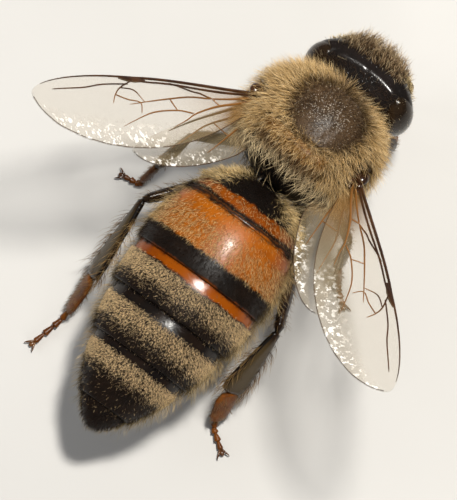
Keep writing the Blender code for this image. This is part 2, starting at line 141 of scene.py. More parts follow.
def curve(knots: Sequence[Sequence[float]], count: int) -> Array:
    """Sample the smooth curve through rows of numbers.

    Args:
        knots: the rows that the curve passes, evenly spaced in its parameter.
        count: how many samples to take.

    Returns:
        The samples, one per row.
    """
    k = np.asarray(knots, float)
    k = np.vstack([2 * k[0] - k[1], k, 2 * k[-1] - k[-2]])
    t = np.linspace(0, len(k) - 3, count)
    i = np.minimum(t.astype(int), len(k) - 4)
    f = (t - i)[:, None]
    a, b, c, d = k[i], k[i + 1], k[i + 2], k[i + 3]
    return 0.5 * (2 * b + (c - a) * f + (2 * a - 5 * b + 4 * c - d) * f**2 + (3 * b - a - 3 * c + d) * f**3)


def step(low: float, high: float, value: Array) -> Array:
    """Rise smoothly from 0 at low to 1 at high."""
    share = np.clip((value - low) / (high - low), 0, 1)
    return share * share * (3 - 2 * share)


def fall(low: float, high: float, value: Array) -> Array:
    """Fall smoothly from 1 at low to 0 at high."""
    return 1 - step(low, high, value)


def bell(value: Array, centre: float, width: float) -> Array:
    """Return 1 at the centre, falling off over the width on both sides."""
    return np.exp(-(((value - centre) / width) ** 2))


# Meshes


@dataclass
class Surface:
    """A closed skin as a grid: rows along it and columns around it."""

    points: Array
    fields: dict[str, Array] = field(default_factory=dict)

    def __post_init__(self) -> None:
        """Spread the fields over the grid, and turn its columns so that the faces look outwards."""
        shape = self.points.shape[:2]
        self.fields = {name: np.broadcast_to(values, shape) for name, values in self.fields.items()}
        if self.volume() < 0:
            self.points = self.points[:, ::-1]
            self.fields = {name: values[:, ::-1] for name, values in self.fields.items()}

    def volume(self) -> float:
        """Measure what the grid's faces enclose.

        Returns:
            Six times the volume, signed by the sense of the faces.
        """
        turned = np.roll(self.points, -1, axis=1)
        a, b, c, d = self.points[:-1], turned[:-1], turned[1:], self.points[1:]
        middle = self.points.mean(axis=(0, 1))
        first = np.einsum("ijk,ijk->", a - middle, np.cross(b - middle, c - middle))
        return float(first + np.einsum("ijk,ijk->", a - middle, np.cross(c - middle, d - middle)))

    def normals(self) -> Array:
        """Work out which way the skin faces.

        Returns:
            The outward direction at each point of the grid.
        """
        along = np.gradient(self.points, axis=0)
        around = np.roll(self.points, -1, axis=1) - np.roll(self.points, 1, axis=1)
        return unit(np.cross(around, along))

    def with_marks(self, **values: float) -> "Surface":
        """Return a copy whose named fields have one value all over."""
        return Surface(self.points, {**self.fields, **values})

    def lifted(self) -> "Surface":
        """Push the skin out by its field "lift", which is then dropped, and return it."""
        self.points = self.points + self.normals() * self.fields.pop("lift")[..., None]
        return self

    def arrays(self) -> tuple[Array, Array, Array, Array, Array]:
        """Turn the grid into faces, closed by a fan of triangles at each end.

        Returns:
            The points, the four-sided faces, the caps, and the unwrap of both in the unit square.
        """
        rows, columns = self.points.shape[:2]
        poles = self.points[[0, -1]].mean(1)
        points = np.vstack([self.points.reshape(-1, 3), poles])
        i, j = np.meshgrid(np.arange(rows - 1), np.arange(columns), indexing="ij")
        k = (j + 1) % columns
        quads = np.stack([i * columns + j, i * columns + k, (i + 1) * columns + k, (i + 1) * columns + j], -1)
        u, v = (i + 0.5) / rows, j / columns
        du, dv = 1 / rows, 1 / columns
        corners = ((v, u), (v + dv, u), (v + dv, u + du), (v, u + du))
        quad_uv = np.stack([np.stack(corner, -1) for corner in corners], 2)
        j, k, v, level = j[0], k[0], j[0] / columns, np.ones(columns)
        last, low, high = (rows - 1) * columns, 0.5 / rows, 1 - 0.5 / rows
        caps, cap_uv = [], []
        ends = ((k, j, v + dv, v, low, 0.0), (last + j, last + k, v, v + dv, high, 1.0))
        for pole, (first, second, start, end, edge, top) in enumerate(ends):
            caps.append(np.stack([first, second, np.full(columns, rows * columns + pole)], -1))
            spots = ((start, edge), (end, edge), (v + dv / 2, top))
            cap_uv.append(np.stack([np.stack([at, level * high_at], -1) for at, high_at in spots], 1))
        return points, quads.reshape(-1, 4), np.vstack(caps), quad_uv.reshape(-1, 4, 2), np.vstack(cap_uv)


def write_mesh(
    name: str,
    points: Array,
    faces: list[tuple[Array, Array]],
    fields: dict[str, Array],
    material: Material,
) -> bpy.types.Object:
    """Make a mesh object from arrays.

    Args:
        name: the object's name.
        points: places in millimetres.
        faces: pairs of an array of corners, one face per row, and of their places on the unwrap.
        fields: a number per point for each named field, which the material reads.
        material: the finish.

    Returns:
        The object, in metres.
    """
    mesh = bpy.data.meshes.new(name)
    mesh.vertices.add(len(points))
    mesh.vertices.foreach_set("co", (points * MILLIMETRE).astype(np.float32).ravel())
    corners = np.concatenate([rows.ravel() for rows, _ in faces])
    sizes = np.concatenate([np.full(len(rows), rows.shape[1]) for rows, _ in faces])
    mesh.loops.add(len(corners))
    mesh.loops.foreach_set("vertex_index", corners.astype(np.int32))
    mesh.polygons.add(len(sizes))
    starts = np.concatenate([[0], np.cumsum(sizes)[:-1]])
    mesh.polygons.foreach_set("loop_start", starts.astype(np.int32))
    mesh.polygons.foreach_set("use_smooth", np.ones(len(sizes), bool))
    mesh.update(calc_edges=True)
    unwrap = mesh.uv_layers.new(name="OFBake")
    spots = np.concatenate([uv.reshape(-1, 2) for _, uv in faces])
    unwrap.data.foreach_set("uv", np.clip(spots, 0, 1).astype(np.float32).ravel())
    for key, values in fields.items():
        layer = mesh.attributes.new(key, "FLOAT", "POINT")
        layer.data.foreach_set("value", values.astype(np.float32))
    mesh.materials.append(material)
    made = bpy.data.objects.new(name, mesh)
    bpy.context.scene.collection.objects.link(made)
    return made


def settle(piece: bpy.types.Object, nodes: Sequence[str] = ()) -> bpy.types.Object:
    """Let a piece ride on the body and stand for solids.

    Args:
        piece: the object, already in place.
        nodes: the solids that it stands for.

    Returns:
        The piece.
    """
    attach(piece, BODY)
    if nodes:
        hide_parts(*nodes)
    LOG.info("%s: %d faces", piece.name, len(piece.data.polygons))
    return piece


# Each skin's tile of the unwrap keeps this share of its width free on both sides
TILE_MARGIN = 0.01
TILE_SHARE = 1 - 2 * TILE_MARGIN


def join(name: str, surfaces: Sequence[Surface], material: Material) -> bpy.types.Object:
    """Make one object of several closed skins, each with its own tile of the unwrap.

    Args:
        name: the object's name.
        surfaces: the skins.
        material: the finish.

    Returns:
        The object.
    """
    tiles = math.ceil(math.sqrt(len(surfaces)))
    names = sorted({key for surface in surfaces for key in surface.fields})
    points, quads, caps, fields, count = [], [], [], {key: [] for key in names}, 0
    for number, surface in enumerate(surfaces):
        corner = np.array([number % tiles, number // tiles]) + TILE_MARGIN
        spots, faces, ends, face_uv, end_uv = surface.arrays()
        points.append(spots)
        quads.append((faces + count, (face_uv * TILE_SHARE + corner) / tiles))
        caps.append((ends + count, (end_uv * TILE_SHARE + corner) / tiles))
        for key in names:
            values = surface.fields.get(key, np.zeros(surface.points.shape[:2]))
            tail = [values[0].mean(), values[-1].mean()]
            fields[key].append(np.concatenate([values.ravel(), tail]))
        count += len(spots)
    faces = [tuple(np.vstack(part) for part in zip(*kind)) for kind in (quads, caps)]
    joined = {key: np.concatenate(values) for key, values in fields.items()}
    return write_mesh(name, np.vstack(points), faces, joined, material)


def add_piece(name: str, skins: Sequence[Surface], finish: Material, slot: Slot, *nodes: str) -> None:
    """Make a piece of one or more closed skins, and let it stand for solids."""
    settle(join(name, skins, finish), nodes)


# Limbs

BEND_SAMPLES = 32
RUN_SPAN = 0.02
POLE_GAP = 0.02


def along_path(path: Array, lengths: Array, at: Array | float) -> Array:
    """Return the places on a path at given lengths along it."""
    return np.stack([np.interp(at, lengths, path[:, k]) for k in range(3)], -1)


def path_lengths(path: Array) -> Array:
    """Return the length along a path at each of its places."""
    return np.concatenate([[0], np.cumsum(np.linalg.norm(np.diff(path, axis=0), axis=1))])


def tube(
    path: Sequence[Sequence[float]],
    profile: Profile,
    rows: int = 40,
    sides: int = 14,
    smooth: bool = False,
    roll: float = 0.0,
) -> Surface:
    """Skin a limb along a path.

    Args:
        path: the places that the limb passes, on the model's axes.
        profile: rows of (share of the length, half-width upright, half-width level), or of the
            first two where both half-widths are the same.
        rows: how many rings there are.
        sides: how many points a ring has.
        smooth: whether the path bends smoothly through its places.
        roll: how far the upright measure is turned about the run, in radians.

    Returns:
        The skin, with the share of the length as its field "stretch" and, as "edge", how far
        round from the upright measure each point lies, from 1 to -1.
    """
    path = curve(path, BEND_SAMPLES) if smooth else np.asarray(path, float)
    lengths = path_lengths(path)
    table = np.array([(*row, row[-1])[:3] for row in profile], float)
    shares = np.unique(np.round(np.concatenate([np.linspace(0, 1, rows), table[:, 0]]), 5))
    at = shares * lengths[-1]
    reach = RUN_SPAN * lengths[-1]
    behind, centre, ahead = (along_path(path, lengths, at + shift) for shift in (-reach, 0, reach))
    run = unit(ahead - behind)
    level = unit(np.cross(run, UP))
    for i in range(1, len(level)):
        if level[i] @ level[i - 1] < 0:
            level[i] = -level[i]
    upright = unit(np.cross(level, run))
    level, upright = (
        level * math.cos(roll) - upright * math.sin(roll),
        upright * math.cos(roll) + level * math.sin(roll),
    )
    wide, thin = (np.interp(shares, table[:, 0], table[:, k])[:, None, None] for k in (1, 2))
    angle = ring_angles(sides)[None, :, None]
    points = centre[:, None] + upright[:, None] * wide * np.cos(angle) + level[:, None] * thin * np.sin(angle)
    return Surface(points, {"stretch": shares[:, None], "edge": np.cos(angle[..., 0])})


def dome(centre: Array, axes: Sequence[Array], rows: int = 28, columns: int = 40) -> Surface:
    """Make a closed rounded form.

    Args:
        centre: its middle.
        axes: three half-axes as vectors; the first runs through its poles.
        rows: rings from pole to pole.
        columns: points on a ring.

    Returns:
        The skin, with the place between its poles, from 1 to -1, as its field "height".
    """
    polar = np.linspace(POLE_GAP, math.pi - POLE_GAP, rows)[:, None, None]
    angle = ring_angles(columns)[None, :, None]
    pole, first, second = (np.asarray(axis, float) for axis in axes)
    points = centre + pole * np.cos(polar) + (first * np.cos(angle) + second * np.sin(angle)) * np.sin(polar)
    return Surface(points, {"height": np.cos(polar)[..., 0]})


# Hair


@dataclass(frozen=True)
class Fur:
    """One kind of hair.

    Density is per square millimetre, lengths and widths are in millimetres, and angles in
    radians. Lean is from upright towards the lie, curl is what the lean gains to the tip,
    spread and stray are how far hairs differ sideways and in lean. Clump is how far tips draw
    together, over clumps of a skin's rows and columns; rings is how many a hair has.
    """

    density: float
    length: Pair
    width: float
    lean: float
    curl: float = 0.5
    spread: float = 0.35
    stray: float = 0.25
    clump: float = 0.0
    clumps: tuple[int, int] = (40, 40)
    rings: int = 2


# Where a hair's rings lie along it, how wide they are, and how many points they have
RING_PLACES = {2: (0.0, 0.5), 3: (0.0, 0.34, 0.68)}
RING_WIDTHS = {2: (0.8, 0.85), 3: (0.8, 1.0, 0.7)}
RING_SIDES = 3
ROOT_SINK = 0.02
LEAN_LIMITS = (0.02, 1.5)
BEND_SPREAD = (0.5, 1.5)
CLUMP_GRIP = 1.5
CLUMP_ROWS = 4096
# The width of a hair's patch on the unwrap
PATCH = 0.003
PIECE_LIMIT = 190_000


def ring_faces(rings: int) -> Array:
    """List the triangles of one hair.

    Args:
        rings: how many rings of points it has below its tip.

    Returns:
        The corners of the triangles.
    """
    sides, faces = RING_SIDES, [(0, 2, 1)]
    for low in range((rings - 1) * sides):
        next_low = low + 1 if (low + 1) % sides else low + 1 - sides
        faces += [(low, next_low, next_low + sides), (low, next_low + sides, low + sides)]
    top = (rings - 1) * sides
    return np.array([*faces, *((top + k, top + (k + 1) % sides, rings * sides) for k in range(sides))])


@dataclass
class Coat:
    """Hairs that are gathered over one or more skins and become closed meshes.

    Names are the skins' fields that each hair takes over from its root.
    """

    name: str
    seed: int
    names: tuple[str, ...]
    kinds: list[tuple[Array, ...]] = field(default_factory=list)

    def __post_init__(self) -> None:
        """Start the random numbers."""
        self.random = np.random.default_rng(self.seed)

    def grow(
        self,
        surface: Surface,
        fur: Fur,
        lie: Callable[[Array, Array], Array],
        weight: Array | float = 1.0,
        length_weight: Array | float = 1.0,
        tile: Tile = (0.0, 0.0, 1.0),
    ) -> None:
        """Grow one kind of hair on a skin.

        Args:
            surface: the skin.
            fur: the kind of hair.
            lie: gives the direction that hair lies in from the places and normals of its roots.
            weight: how thickly it stands, from 0 to 1, at each point of the skin's grid.
            length_weight: a factor on the length at each point of the grid.
            tile: the corner and size of the skin's tile on the unwrap.
        """
        grid = surface.points
        rows, columns = shape = grid.shape[:2]
        weight, stretch = (np.broadcast_to(part, shape).astype(float) for part in (weight, length_weight))

        def corners(values: Array) -> tuple[Array, Array, Array, Array]:
            """Return the grid's values at each of the four corners of its faces."""
            own, far = (part.reshape(rows, columns, -1) for part in (values, np.roll(values, -1, axis=1)))
            return tuple(part.reshape(-1, part.shape[-1]) for part in (own[:-1], far[:-1], far[1:], own[1:]))

        p = corners(grid)
        area = 0.5 * np.linalg.norm(np.cross(p[2] - p[0], p[3] - p[1]), axis=1)
        likely = area * np.clip(sum(corners(weight))[:, 0] / 4, 0, None)
        total = np.cumsum(likely)
        count = int(fur.density * total[-1])
        if count < 1:
            return
        cell = np.minimum(np.searchsorted(total, self.random.random(count) * total[-1]), len(total) - 1)
        a, b = self.random.random((2, count, 1))

        def at_root(values: Array) -> Array:
            """Return the grid's values at the root of each hair."""
            p, q, r, t = (corner[cell] for corner in corners(values))
            return (p * (1 - b) + q * b) * (1 - a) + (t * (1 - b) + r * b) * a

        root = at_root(grid)
        normal = unit(at_root(surface.normals()))
        way = lie(root, normal)
        way = unit(way - normal * np.sum(way * normal, 1, keepdims=True))
        side = np.cross(normal, way)
        swing = self.random.normal(0, fur.spread, (count, 1))
        way, side = way * np.cos(swing) + side * np.sin(swing), side * np.cos(swing) - way * np.sin(swing)
        lean = np.clip(fur.lean + self.random.normal(0, fur.stray, (count, 1)), *LEAN_LIMITS)
        out = normal * np.cos(lean) + way * np.sin(lean)
        turn = way * np.cos(lean) - normal * np.sin(lean)
        bend = fur.curl * self.random.uniform(*BEND_SPREAD, (count, 1))
        length = self.random.uniform(*fur.length, (count, 1)) * at_root(stretch)
        row, column = np.divmod(cell, columns)
        unwrap = np.hstack([(column[:, None] + b) / columns, (row[:, None] + 0.5 + a) / rows])

        def centre(t: float) -> Array:
            """Return the middle of each hair at a share of its length."""
            return length * (t * out + 0.5 * t * t * bend * turn)

        tip = centre(1.0)
        pull = np.zeros_like(tip)
        if fur.clump:
            key = np.floor(unwrap * np.array(fur.clumps)).astype(int)
            _, group = np.unique(key[:, 0] * CLUMP_ROWS + key[:, 1], return_inverse=True)
            size = np.bincount(group)
            end = root + tip
            mean = np.stack([np.bincount(group, end[:, k]) / size for k in range(3)], -1)[group]
            pull = fur.clump * (mean - end)
        second = np.cross(out, side)
        points = []
        for t, share in zip(RING_PLACES[fur.rings], RING_WIDTHS[fur.rings]):
            middle = root + centre(t) + pull * t**CLUMP_GRIP - normal * (ROOT_SINK if t == 0 else 0)
            for angle in ring_angles(RING_SIDES):
                spoke = side * math.cos(angle) + second * math.sin(angle)
                points.append(middle + spoke * fur.width * share * 0.5)
        points.append(root + tip + pull)
        fields = np.hstack([at_root(surface.fields.get(key, np.zeros(shape))) for key in self.names])
        each, faces = len(points), ring_faces(fur.rings)
        along = np.array([*np.repeat(RING_PLACES[fur.rings], RING_SIDES), 1.0])
        *corner, size = tile
        base = np.array(corner) + (unwrap * TILE_SHARE + TILE_MARGIN) * size
        patch = np.stack([np.array([*([0.0, 0.5, 1.0] * fur.rings), 0.5]) - 0.5, along - 0.5], -1) * PATCH
        spots = base[:, None] + patch[None]
        shade = np.repeat(self.random.random((count, 1)), each, 1)
        columns = [np.tile(along, (count, 1)), shade, *(np.repeat(c[:, None], each, 1) for c in fields.T)]
        faces = np.broadcast_to(faces, (count, *faces.shape))
        self.kinds.append((np.stack(points, 1), faces, spots, np.stack(columns, -1)))

    def make(self, material: Material) -> list[bpy.types.Object]:
        """Write the hairs as objects, each below the limit of triangles.

        Args:
            material: the coat's finish.

        Returns:
            The objects.
        """
        made, batches, size = [], [[]], 0
        for parts in self.kinds:
            start, total, per = 0, len(parts[0]), parts[1].shape[1]
            while start < total:
                take = min(total - start, (PIECE_LIMIT - size) // per)
                if take > 0:
                    batches[-1].append([part[start : start + take] for part in parts])
                    size += take * per
                    start += take
                if size + per > PIECE_LIMIT:
                    batches.append([])
                    size = 0
        for number, batch in enumerate(filter(None, batches)):
            spots, corners, uvs, values, count = [], [], [], [], 0
            for points, faces, unwrap, fields in batch:
                hairs, each = points.shape[:2]
                hair = np.arange(hairs)[:, None, None]
                corners.append((faces + count + hair * each).reshape(-1, 3))
                uvs.append(unwrap[hair, faces].reshape(-1, 3, 2))
                spots.append(points.reshape(-1, 3))
                values.append(fields.reshape(-1, fields.shape[-1]))
                count += hairs * each
            fields = dict(zip(("along", "shade", *self.names), np.vstack(values).T))
            faces = [(np.vstack(corners), np.vstack(uvs))]
            piece = write_mesh(f"{self.name}_{number + 1}", np.vstack(spots), faces, fields, material)
            made.append(settle(piece))
        return made


# Shader graphs


class Blend(Enum):
    """How one colour is laid on another."""

    PLAIN = "MIX"
    STAIN = "MULTIPLY"


@dataclass(frozen=True)
class Value:
    """A shader socket that takes part in Python arithmetic."""

    graph: "Graph"
    socket: bpy.types.NodeSocket

    def __add__(self, other: "Value | float") -> "Value":
        """Add."""
        return self.graph.maths("ADD", self, other)

    __radd__ = __add__

    def __sub__(self, other: "Value | float") -> "Value":
        """Subtract."""
        return self.graph.maths("SUBTRACT", self, other)

    def __rsub__(self, other: "Value | float") -> "Value":
        """Subtract from a number."""
        return self.graph.maths("SUBTRACT", other, self)

    def __mul__(self, other: "Value | float") -> "Value":
        """Multiply."""
        return self.graph.maths("MULTIPLY", self, other)

    __rmul__ = __mul__

    def most(self, other: "Value | float") -> "Value":
        """Return the larger of two values."""
        return self.graph.maths("MAXIMUM", self, other)

    def least(self, other: "Value | float") -> "Value":
        """Return the smaller of two values."""
        return self.graph.maths("MINIMUM", self, other)

    def rise(self, low: float, high: float) -> "Value":
        """Rise smoothly from 0 at low to 1 at high."""
        feeds = {"Value": self, "From Min": low, "From Max": high}
        return self.graph.node("ShaderNodeMapRange", {"interpolation_type": "SMOOTHSTEP"}, feeds)

    def band(self, low: float, high: float, soft: float) -> "Value":
        """Be 1 between low and high, with soft edges of a given width."""
        return self.rise(low - soft, low + soft) * (1 - self.rise(high - soft, high + soft))


class Graph:
    """A material under construction: its node tree and its Principled shader."""

    def __init__(self, name: str) -> None:
        """Start a material."""
        self.material = bpy.data.materials.new(name)
        self.material.use_nodes = True
        self.tree = self.material.node_tree
        self.shader = self.tree.nodes["Principled BSDF"]

    def node(
        self,
        kind: str,
        settings: dict[str, object] | None = None,
        feeds: dict[str | int, object] | None = None,
        output: int | str = 0,
    ) -> Value:
        """Add a node.

        Args:
            kind: the node's type.
            settings: its properties, which are set first.
            feeds: a value, colour, vector or Value for its inputs, by name or number.
            output: the output that is returned.

        Returns:
            The chosen output.
        """
        made = self.tree.nodes.new(kind)
        for key, value in (settings or {}).items():
            setattr(made, key, value)
        for key, value in (feeds or {}).items():
            self.feed(made.inputs[key], value)
        return Value(self, made.outputs[output])

    def feed(self, socket: bpy.types.NodeSocket, value: object) -> None:
        """Link a Value to a socket, or set the socket to a plain value.

        Args:
            socket: the input.
            value: a Value, a colour, a vector or a number.
        """
        if isinstance(value, Value):
            self.tree.links.new(value.socket, socket)
        elif isinstance(value, tuple) and len(value) == 3 and socket.type == "RGBA":
            socket.default_value = (*value, 1.0)
        else:
            socket.default_value = value

    def maths(self, operation: str, *terms: "Value | float") -> Value:
        """Add a Math node on two terms."""
        return self.node("ShaderNodeMath", {"operation": operation}, dict(enumerate(terms)))

    def field(self, name: str) -> Value:
        """Read one of the mesh's fields."""
        return self.node("ShaderNodeAttribute", {"attribute_name": name}, output="Fac")

    def place(self) -> Value:
        """Return the place on the object in millimetres."""
        feeds = {0: self.node("ShaderNodeTexCoord", output="Object"), 1: (1 / MILLIMETRE,) * 3}
        return self.node("ShaderNodeVectorMath", {"operation": "MULTIPLY"}, feeds)

    def noise(self, scale: float, detail: float = 3.0) -> Value:
        """Return cloudy noise of so many cells per millimetre, around 0.5."""
        feeds = {"Vector": self.place(), "Scale": scale, "Detail": detail, "Roughness": 0.6}
        return self.node("ShaderNodeTexNoise", {}, feeds)

    def cells(self, scale: float) -> Value:
        """Return the distance from the middle of cells, so many per millimetre."""
        return self.node("ShaderNodeTexVoronoi", {"feature": "F1"}, {"Vector": self.place(), "Scale": scale})

    def mix(
        self, share: Value | float, first: Value | Colour, second: Value | Colour, blend: Blend = Blend.PLAIN
    ) -> Value:
        """Mix two colours."""
        settings = {"data_type": "RGBA", "blend_type": blend.value}
        return self.node("ShaderNodeMix", settings, {0: share, 6: first, 7: second}, output=2)

    def bump(self, height: Value, depth: float) -> Value:
        """Return a surface direction dented by a height, over a depth in millimetres."""
        return self.node("ShaderNodeBump", {}, {"Height": height, "Distance": depth * MILLIMETRE})

    def finish(self, sockets: dict[str, object]) -> Material:
        """Feed the Principled shader.

        Args:
            sockets: values or links for its inputs, by name.

        Returns:
            The material.
        """
        for key, value in sockets.items():
            self.feed(self.shader.inputs[key], value)
        return self.material


# Finishes


@dataclass(frozen=True)
class Zone:
    """A stretch of one field that has its own colour."""

    field: str
    low: float
    high: float
    colour: Colour
    soft: float = 0.04
    strength: float = 1.0


def paint(graph: Graph, base: Value | Colour, zones: Sequence[Zone], wobble: Value | None = None) -> Value:
    """Lay zones of colour over a base, later ones on top.

    Args:
        graph: the material's graph.
        base: the colour underneath.
        zones: the zones.
        wobble: what is added to the fields so that edges aren't ruled lines.

    Returns:
        The colour.
    """
    fields: dict[str, Value] = {}
    for zone in zones:
        if zone.field not in fields:
            read = graph.field(zone.field)
            fields[zone.field] = read + wobble if wobble else read
        mask = fields[zone.field].band(zone.low, zone.high, zone.soft)
        base = graph.mix(mask * zone.strength, base, zone.colour)
    return base


@dataclass(frozen=True)
class Shell:
    """Hard cuticle: zones of colour, a leathery grain, and small pits with painted shade in them.

    Clouds, stains, grain and pits are given as cells per millimetre, depths in millimetres.
    """

    name: str
    colour: Colour
    varied: Colour
    zones: tuple[Zone, ...] = ()
    roughness: Pair = (0.22, 0.42)
    pits: float = 9.0
    pit_depth: float = 0.006
    pit_edge: float = 0.28
    grain: float = 22.0
    grain_depth: float = 0.004
    grain_rough: float = 0.1
    wobble: float = 0.06
    coat: float = 0.15
    coat_roughness: float = 0.15
    mirror: float = 0.35
    mottle: float = 0.0
    polished: tuple[Zone, ...] = ()
    clouds: float = 1.7
    cloud_edges: Pair = (0.35, 0.65)
    stains: float = 1.1
    stain_edges: Pair = (0.44, 0.72)
    stain: Colour = (0.60, 0.48, 0.36)
    # Painted shade in the pits: a near-black colour, and how far the pit middles go towards it
    hollow: Colour = (0.005, 0.004, 0.003)
    hollow_share: float = 0.4

    def build(self) -> Material:
        """Dress the shell.

        Returns:
            The material.
        """
        graph = Graph(self.name)
        cloud = graph.noise(self.clouds, 4.0)
        wobble = (cloud - 0.5) * self.wobble
        base = graph.mix(cloud.rise(*self.cloud_edges), self.colour, self.varied)
        colour = paint(graph, base, self.zones, wobble)
        if self.mottle:
            stained = graph.noise(self.stains, 5.0).rise(*self.stain_edges) * self.mottle
            colour = graph.mix(stained, colour, self.stain, Blend.STAIN)
        grain = graph.noise(self.grain, 2.0)
        pits = graph.cells(self.pits).rise(0.0, self.pit_edge)
        height = pits * (self.pit_depth / self.grain_depth) + grain
        low, high = self.roughness
        rough = cloud * (high - low) + grain * self.grain_rough + (low - self.grain_rough / 2)
        for zone in self.polished:
            rough = rough * (1 - graph.field(zone.field).band(zone.low, zone.high, zone.soft) * zone.strength)
        # Pit middles are mixed towards the near-black colour: painted shade in the pits
        share = pits * self.hollow_share + (1 - self.hollow_share)
        return graph.finish({
            "Base Color": graph.mix(share, self.hollow, colour),
            "Roughness": rough,
            "Normal": graph.bump(height, self.grain_depth),
            "Coat Weight": self.coat,
            "Coat Roughness": self.coat_roughness,
            "Specular IOR Level": self.mirror,
        })


@dataclass(frozen=True)
class Hair:
    """Hair: painted shade at the root, tips paler partly as painted highlight, each one a little different.
    """

    name: str
    colour: Colour
    zones: tuple[Zone, ...] = ()
    # Painted shade at the root: its strength, the near-black root colour, and its reach along the hair
    deep: float = 0.85
    spread: float = 0.85
    root: Colour = (0.016, 0.008, 0.004)
    root_reach: float = 0.85
    deepest: float = 0.92
    dull_shades: Pair = (0.50, 0.0)
    # Paler tips, partly the hair's own pale tips and partly a painted highlight of lit tips
    bleach: Colour = (0.96, 0.80, 0.50)
    bleached: float = 0.75
    pale_enough: Pair = (0.03, 0.24)
    bleach_shades: Pair = (0.25, 1.0)
    bleach_reach: Pair = (0.2, 1.0)
    roughness: float = 0.5
    mirror: float = 0.15

    def build(self) -> Material:
        """Dress the hair.

        Returns:
            The material.
        """
        graph = Graph(self.name)
        along = graph.field("along")
        shade = graph.field("shade")
        colour = paint(graph, self.colour, self.zones)
        pale = graph.node("ShaderNodeRGBToBW", {}, {"Color": colour}).rise(*self.pale_enough)
        # Paler tips: partly real, partly a painted highlight
        tip = pale * shade.rise(*self.bleach_shades) * along.rise(*self.bleach_reach)
        colour = graph.mix(tip * self.bleached, colour, self.bleach)
        # Painted shade deep in the coat towards the root, plus a random dull tone for some hairs
        root_shade_and_dull = (1 - along.rise(0.0, self.root_reach)) * self.deep
        root_shade_and_dull = root_shade_and_dull + shade.rise(*self.dull_shades) * self.spread * 0.5
        colour = graph.mix(root_shade_and_dull.least(self.deepest), colour, self.root)
        return graph.finish(
            {"Base Color": colour, "Roughness": self.roughness, "Specular IOR Level": self.mirror}
        )


@dataclass(frozen=True)
class Facets:
    """The glossy compound eye, cut into small lenses, so many per millimetre."""

    name: str = "compound_eye"
    colour: Colour = (0.006, 0.004, 0.002)
    varied: Colour = (0.018, 0.010, 0.005)
    lenses: float = 26.0
    depth: float = 0.0025
    lens_edges: Pair = (0.75, 0.1)
    clouds: float = 1.2
    cloud_edges: Pair = (0.3, 0.7)
    roughness: Pair = (0.10, 0.18)
    coat: float = 0.1
    coat_roughness: float = 0.06
    mirror: float = 0.22

    def build(self) -> Material:
        """Dress the eye.

        Returns:
            The material.
        """
        graph = Graph(self.name)
        cloud = graph.noise(self.clouds)
        lens = graph.cells(self.lenses).rise(*self.lens_edges)
        low, high = self.roughness
        return graph.finish({
            "Base Color": graph.mix(cloud.rise(*self.cloud_edges), self.colour, self.varied),
            "Roughness": cloud * (high - low) + low,
            "Normal": graph.bump(lens, self.depth),
            "Coat Weight": self.coat,
            "Coat Roughness": self.coat_roughness,
            "Specular IOR Level": self.mirror,
        })


@dataclass(frozen=True)
class Membrane:
    """Clear amber wing skin with fine wrinkles, dust-like points and painted glints over its crinkled rear.

    Wrinkles, dust and painted glints are given as cells per millimetre, the depth in millimetres.
    """

    name: str = "wing_membrane"
    colour: Colour = (0.34, 0.27, 0.16)
    deep: Colour = (0.22, 0.11, 0.032)
    # The near-white colour of the painted glints on the rear part
    pearl: Colour = (0.92, 0.90, 0.86)
    clear: float = 0.13
    tinted: float = 0.30
    milky: float = 0.05
    densest: float = 0.95
    wrinkle: float = 7.0
    wrinkle_edges: Pair = (0.4, 0.9)
    wrinkle_depth: float = 0.02
    flatness: float = 0.35
    dust: float = 14.0
    dust_edges: Pair = (0.30, 0.05)
    dust_veil: float = 0.06
    dust_height: float = 0.25
    # Painted glints: noise cells per millimetre, the edges of the spots, and how opaque they make the skin
    pearls: float = 6.0
    pearl_edges: Pair = (0.52, 0.64)
    pearl_veil: float = 0.5
    roughness: Pair = (0.12, 0.15)
    coat: float = 0.3
    coat_roughness: float = 0.1

    def build(self) -> Material:
        """Dress the wing's skin.

        Returns:
            The material.
        """
        graph = Graph(self.name)
        base = graph.field("root")
        trail = graph.field("trail")
        wrinkles = graph.noise(self.wrinkle)
        dust = graph.cells(self.dust).rise(*self.dust_edges)
        # Pale spots over the crinkled rear part are painted glints: more opaque, and mixed towards near-white
        painted_wing_glint = graph.noise(self.pearls).rise(*self.pearl_edges) * trail
        alpha = self.clear + base * (self.tinted - self.clear) + trail * self.milky
        alpha = alpha + dust * self.dust_veil + painted_wing_glint * self.pearl_veil
        tint = graph.mix(base.most(wrinkles.rise(*self.wrinkle_edges) * 0.5), self.colour, self.deep)
        height = wrinkles * (self.flatness + trail) + dust * self.dust_height
        low, added = self.roughness
        return graph.finish({
            "Base Color": graph.mix(painted_wing_glint, tint, self.pearl),
            "Roughness": wrinkles * added + low,
            "Alpha": alpha.least(self.densest),
            "Normal": graph.bump(height, self.wrinkle_depth),
            "Coat Weight": self.coat,
            "Coat Roughness": self.coat_roughness,
        })


@dataclass(frozen=True)
class Ground:
    """The plain pale floor."""

    name: str = "pale_floor"
    colour: Colour = (0.45, 0.44, 0.425)
    varied: Colour = (0.48, 0.47, 0.455)
    clouds: float = 0.2
    roughness: float = 0.8

    def build(self) -> Material:
        """Dress the floor.

        Returns:
            The material.
        """
        graph = Graph(self.name)
        colour = graph.mix(graph.noise(self.clouds, 2.0), self.colour, self.varied)
        return graph.finish({"Base Color": colour, "Roughness": self.roughness})


BLACK: Colour = (0.0055, 0.0042, 0.0036)
RUST: Colour = (0.19, 0.042, 0.001)
AMBER: Colour = (0.27, 0.070, 0.002)
GOLD: Colour = (0.74, 0.46, 0.17)
STRAW: Colour = (0.66, 0.46, 0.19)
ASH: Colour = (0.90, 0.63, 0.33)
DARK_HAIR: Colour = (0.011, 0.006, 0.004)

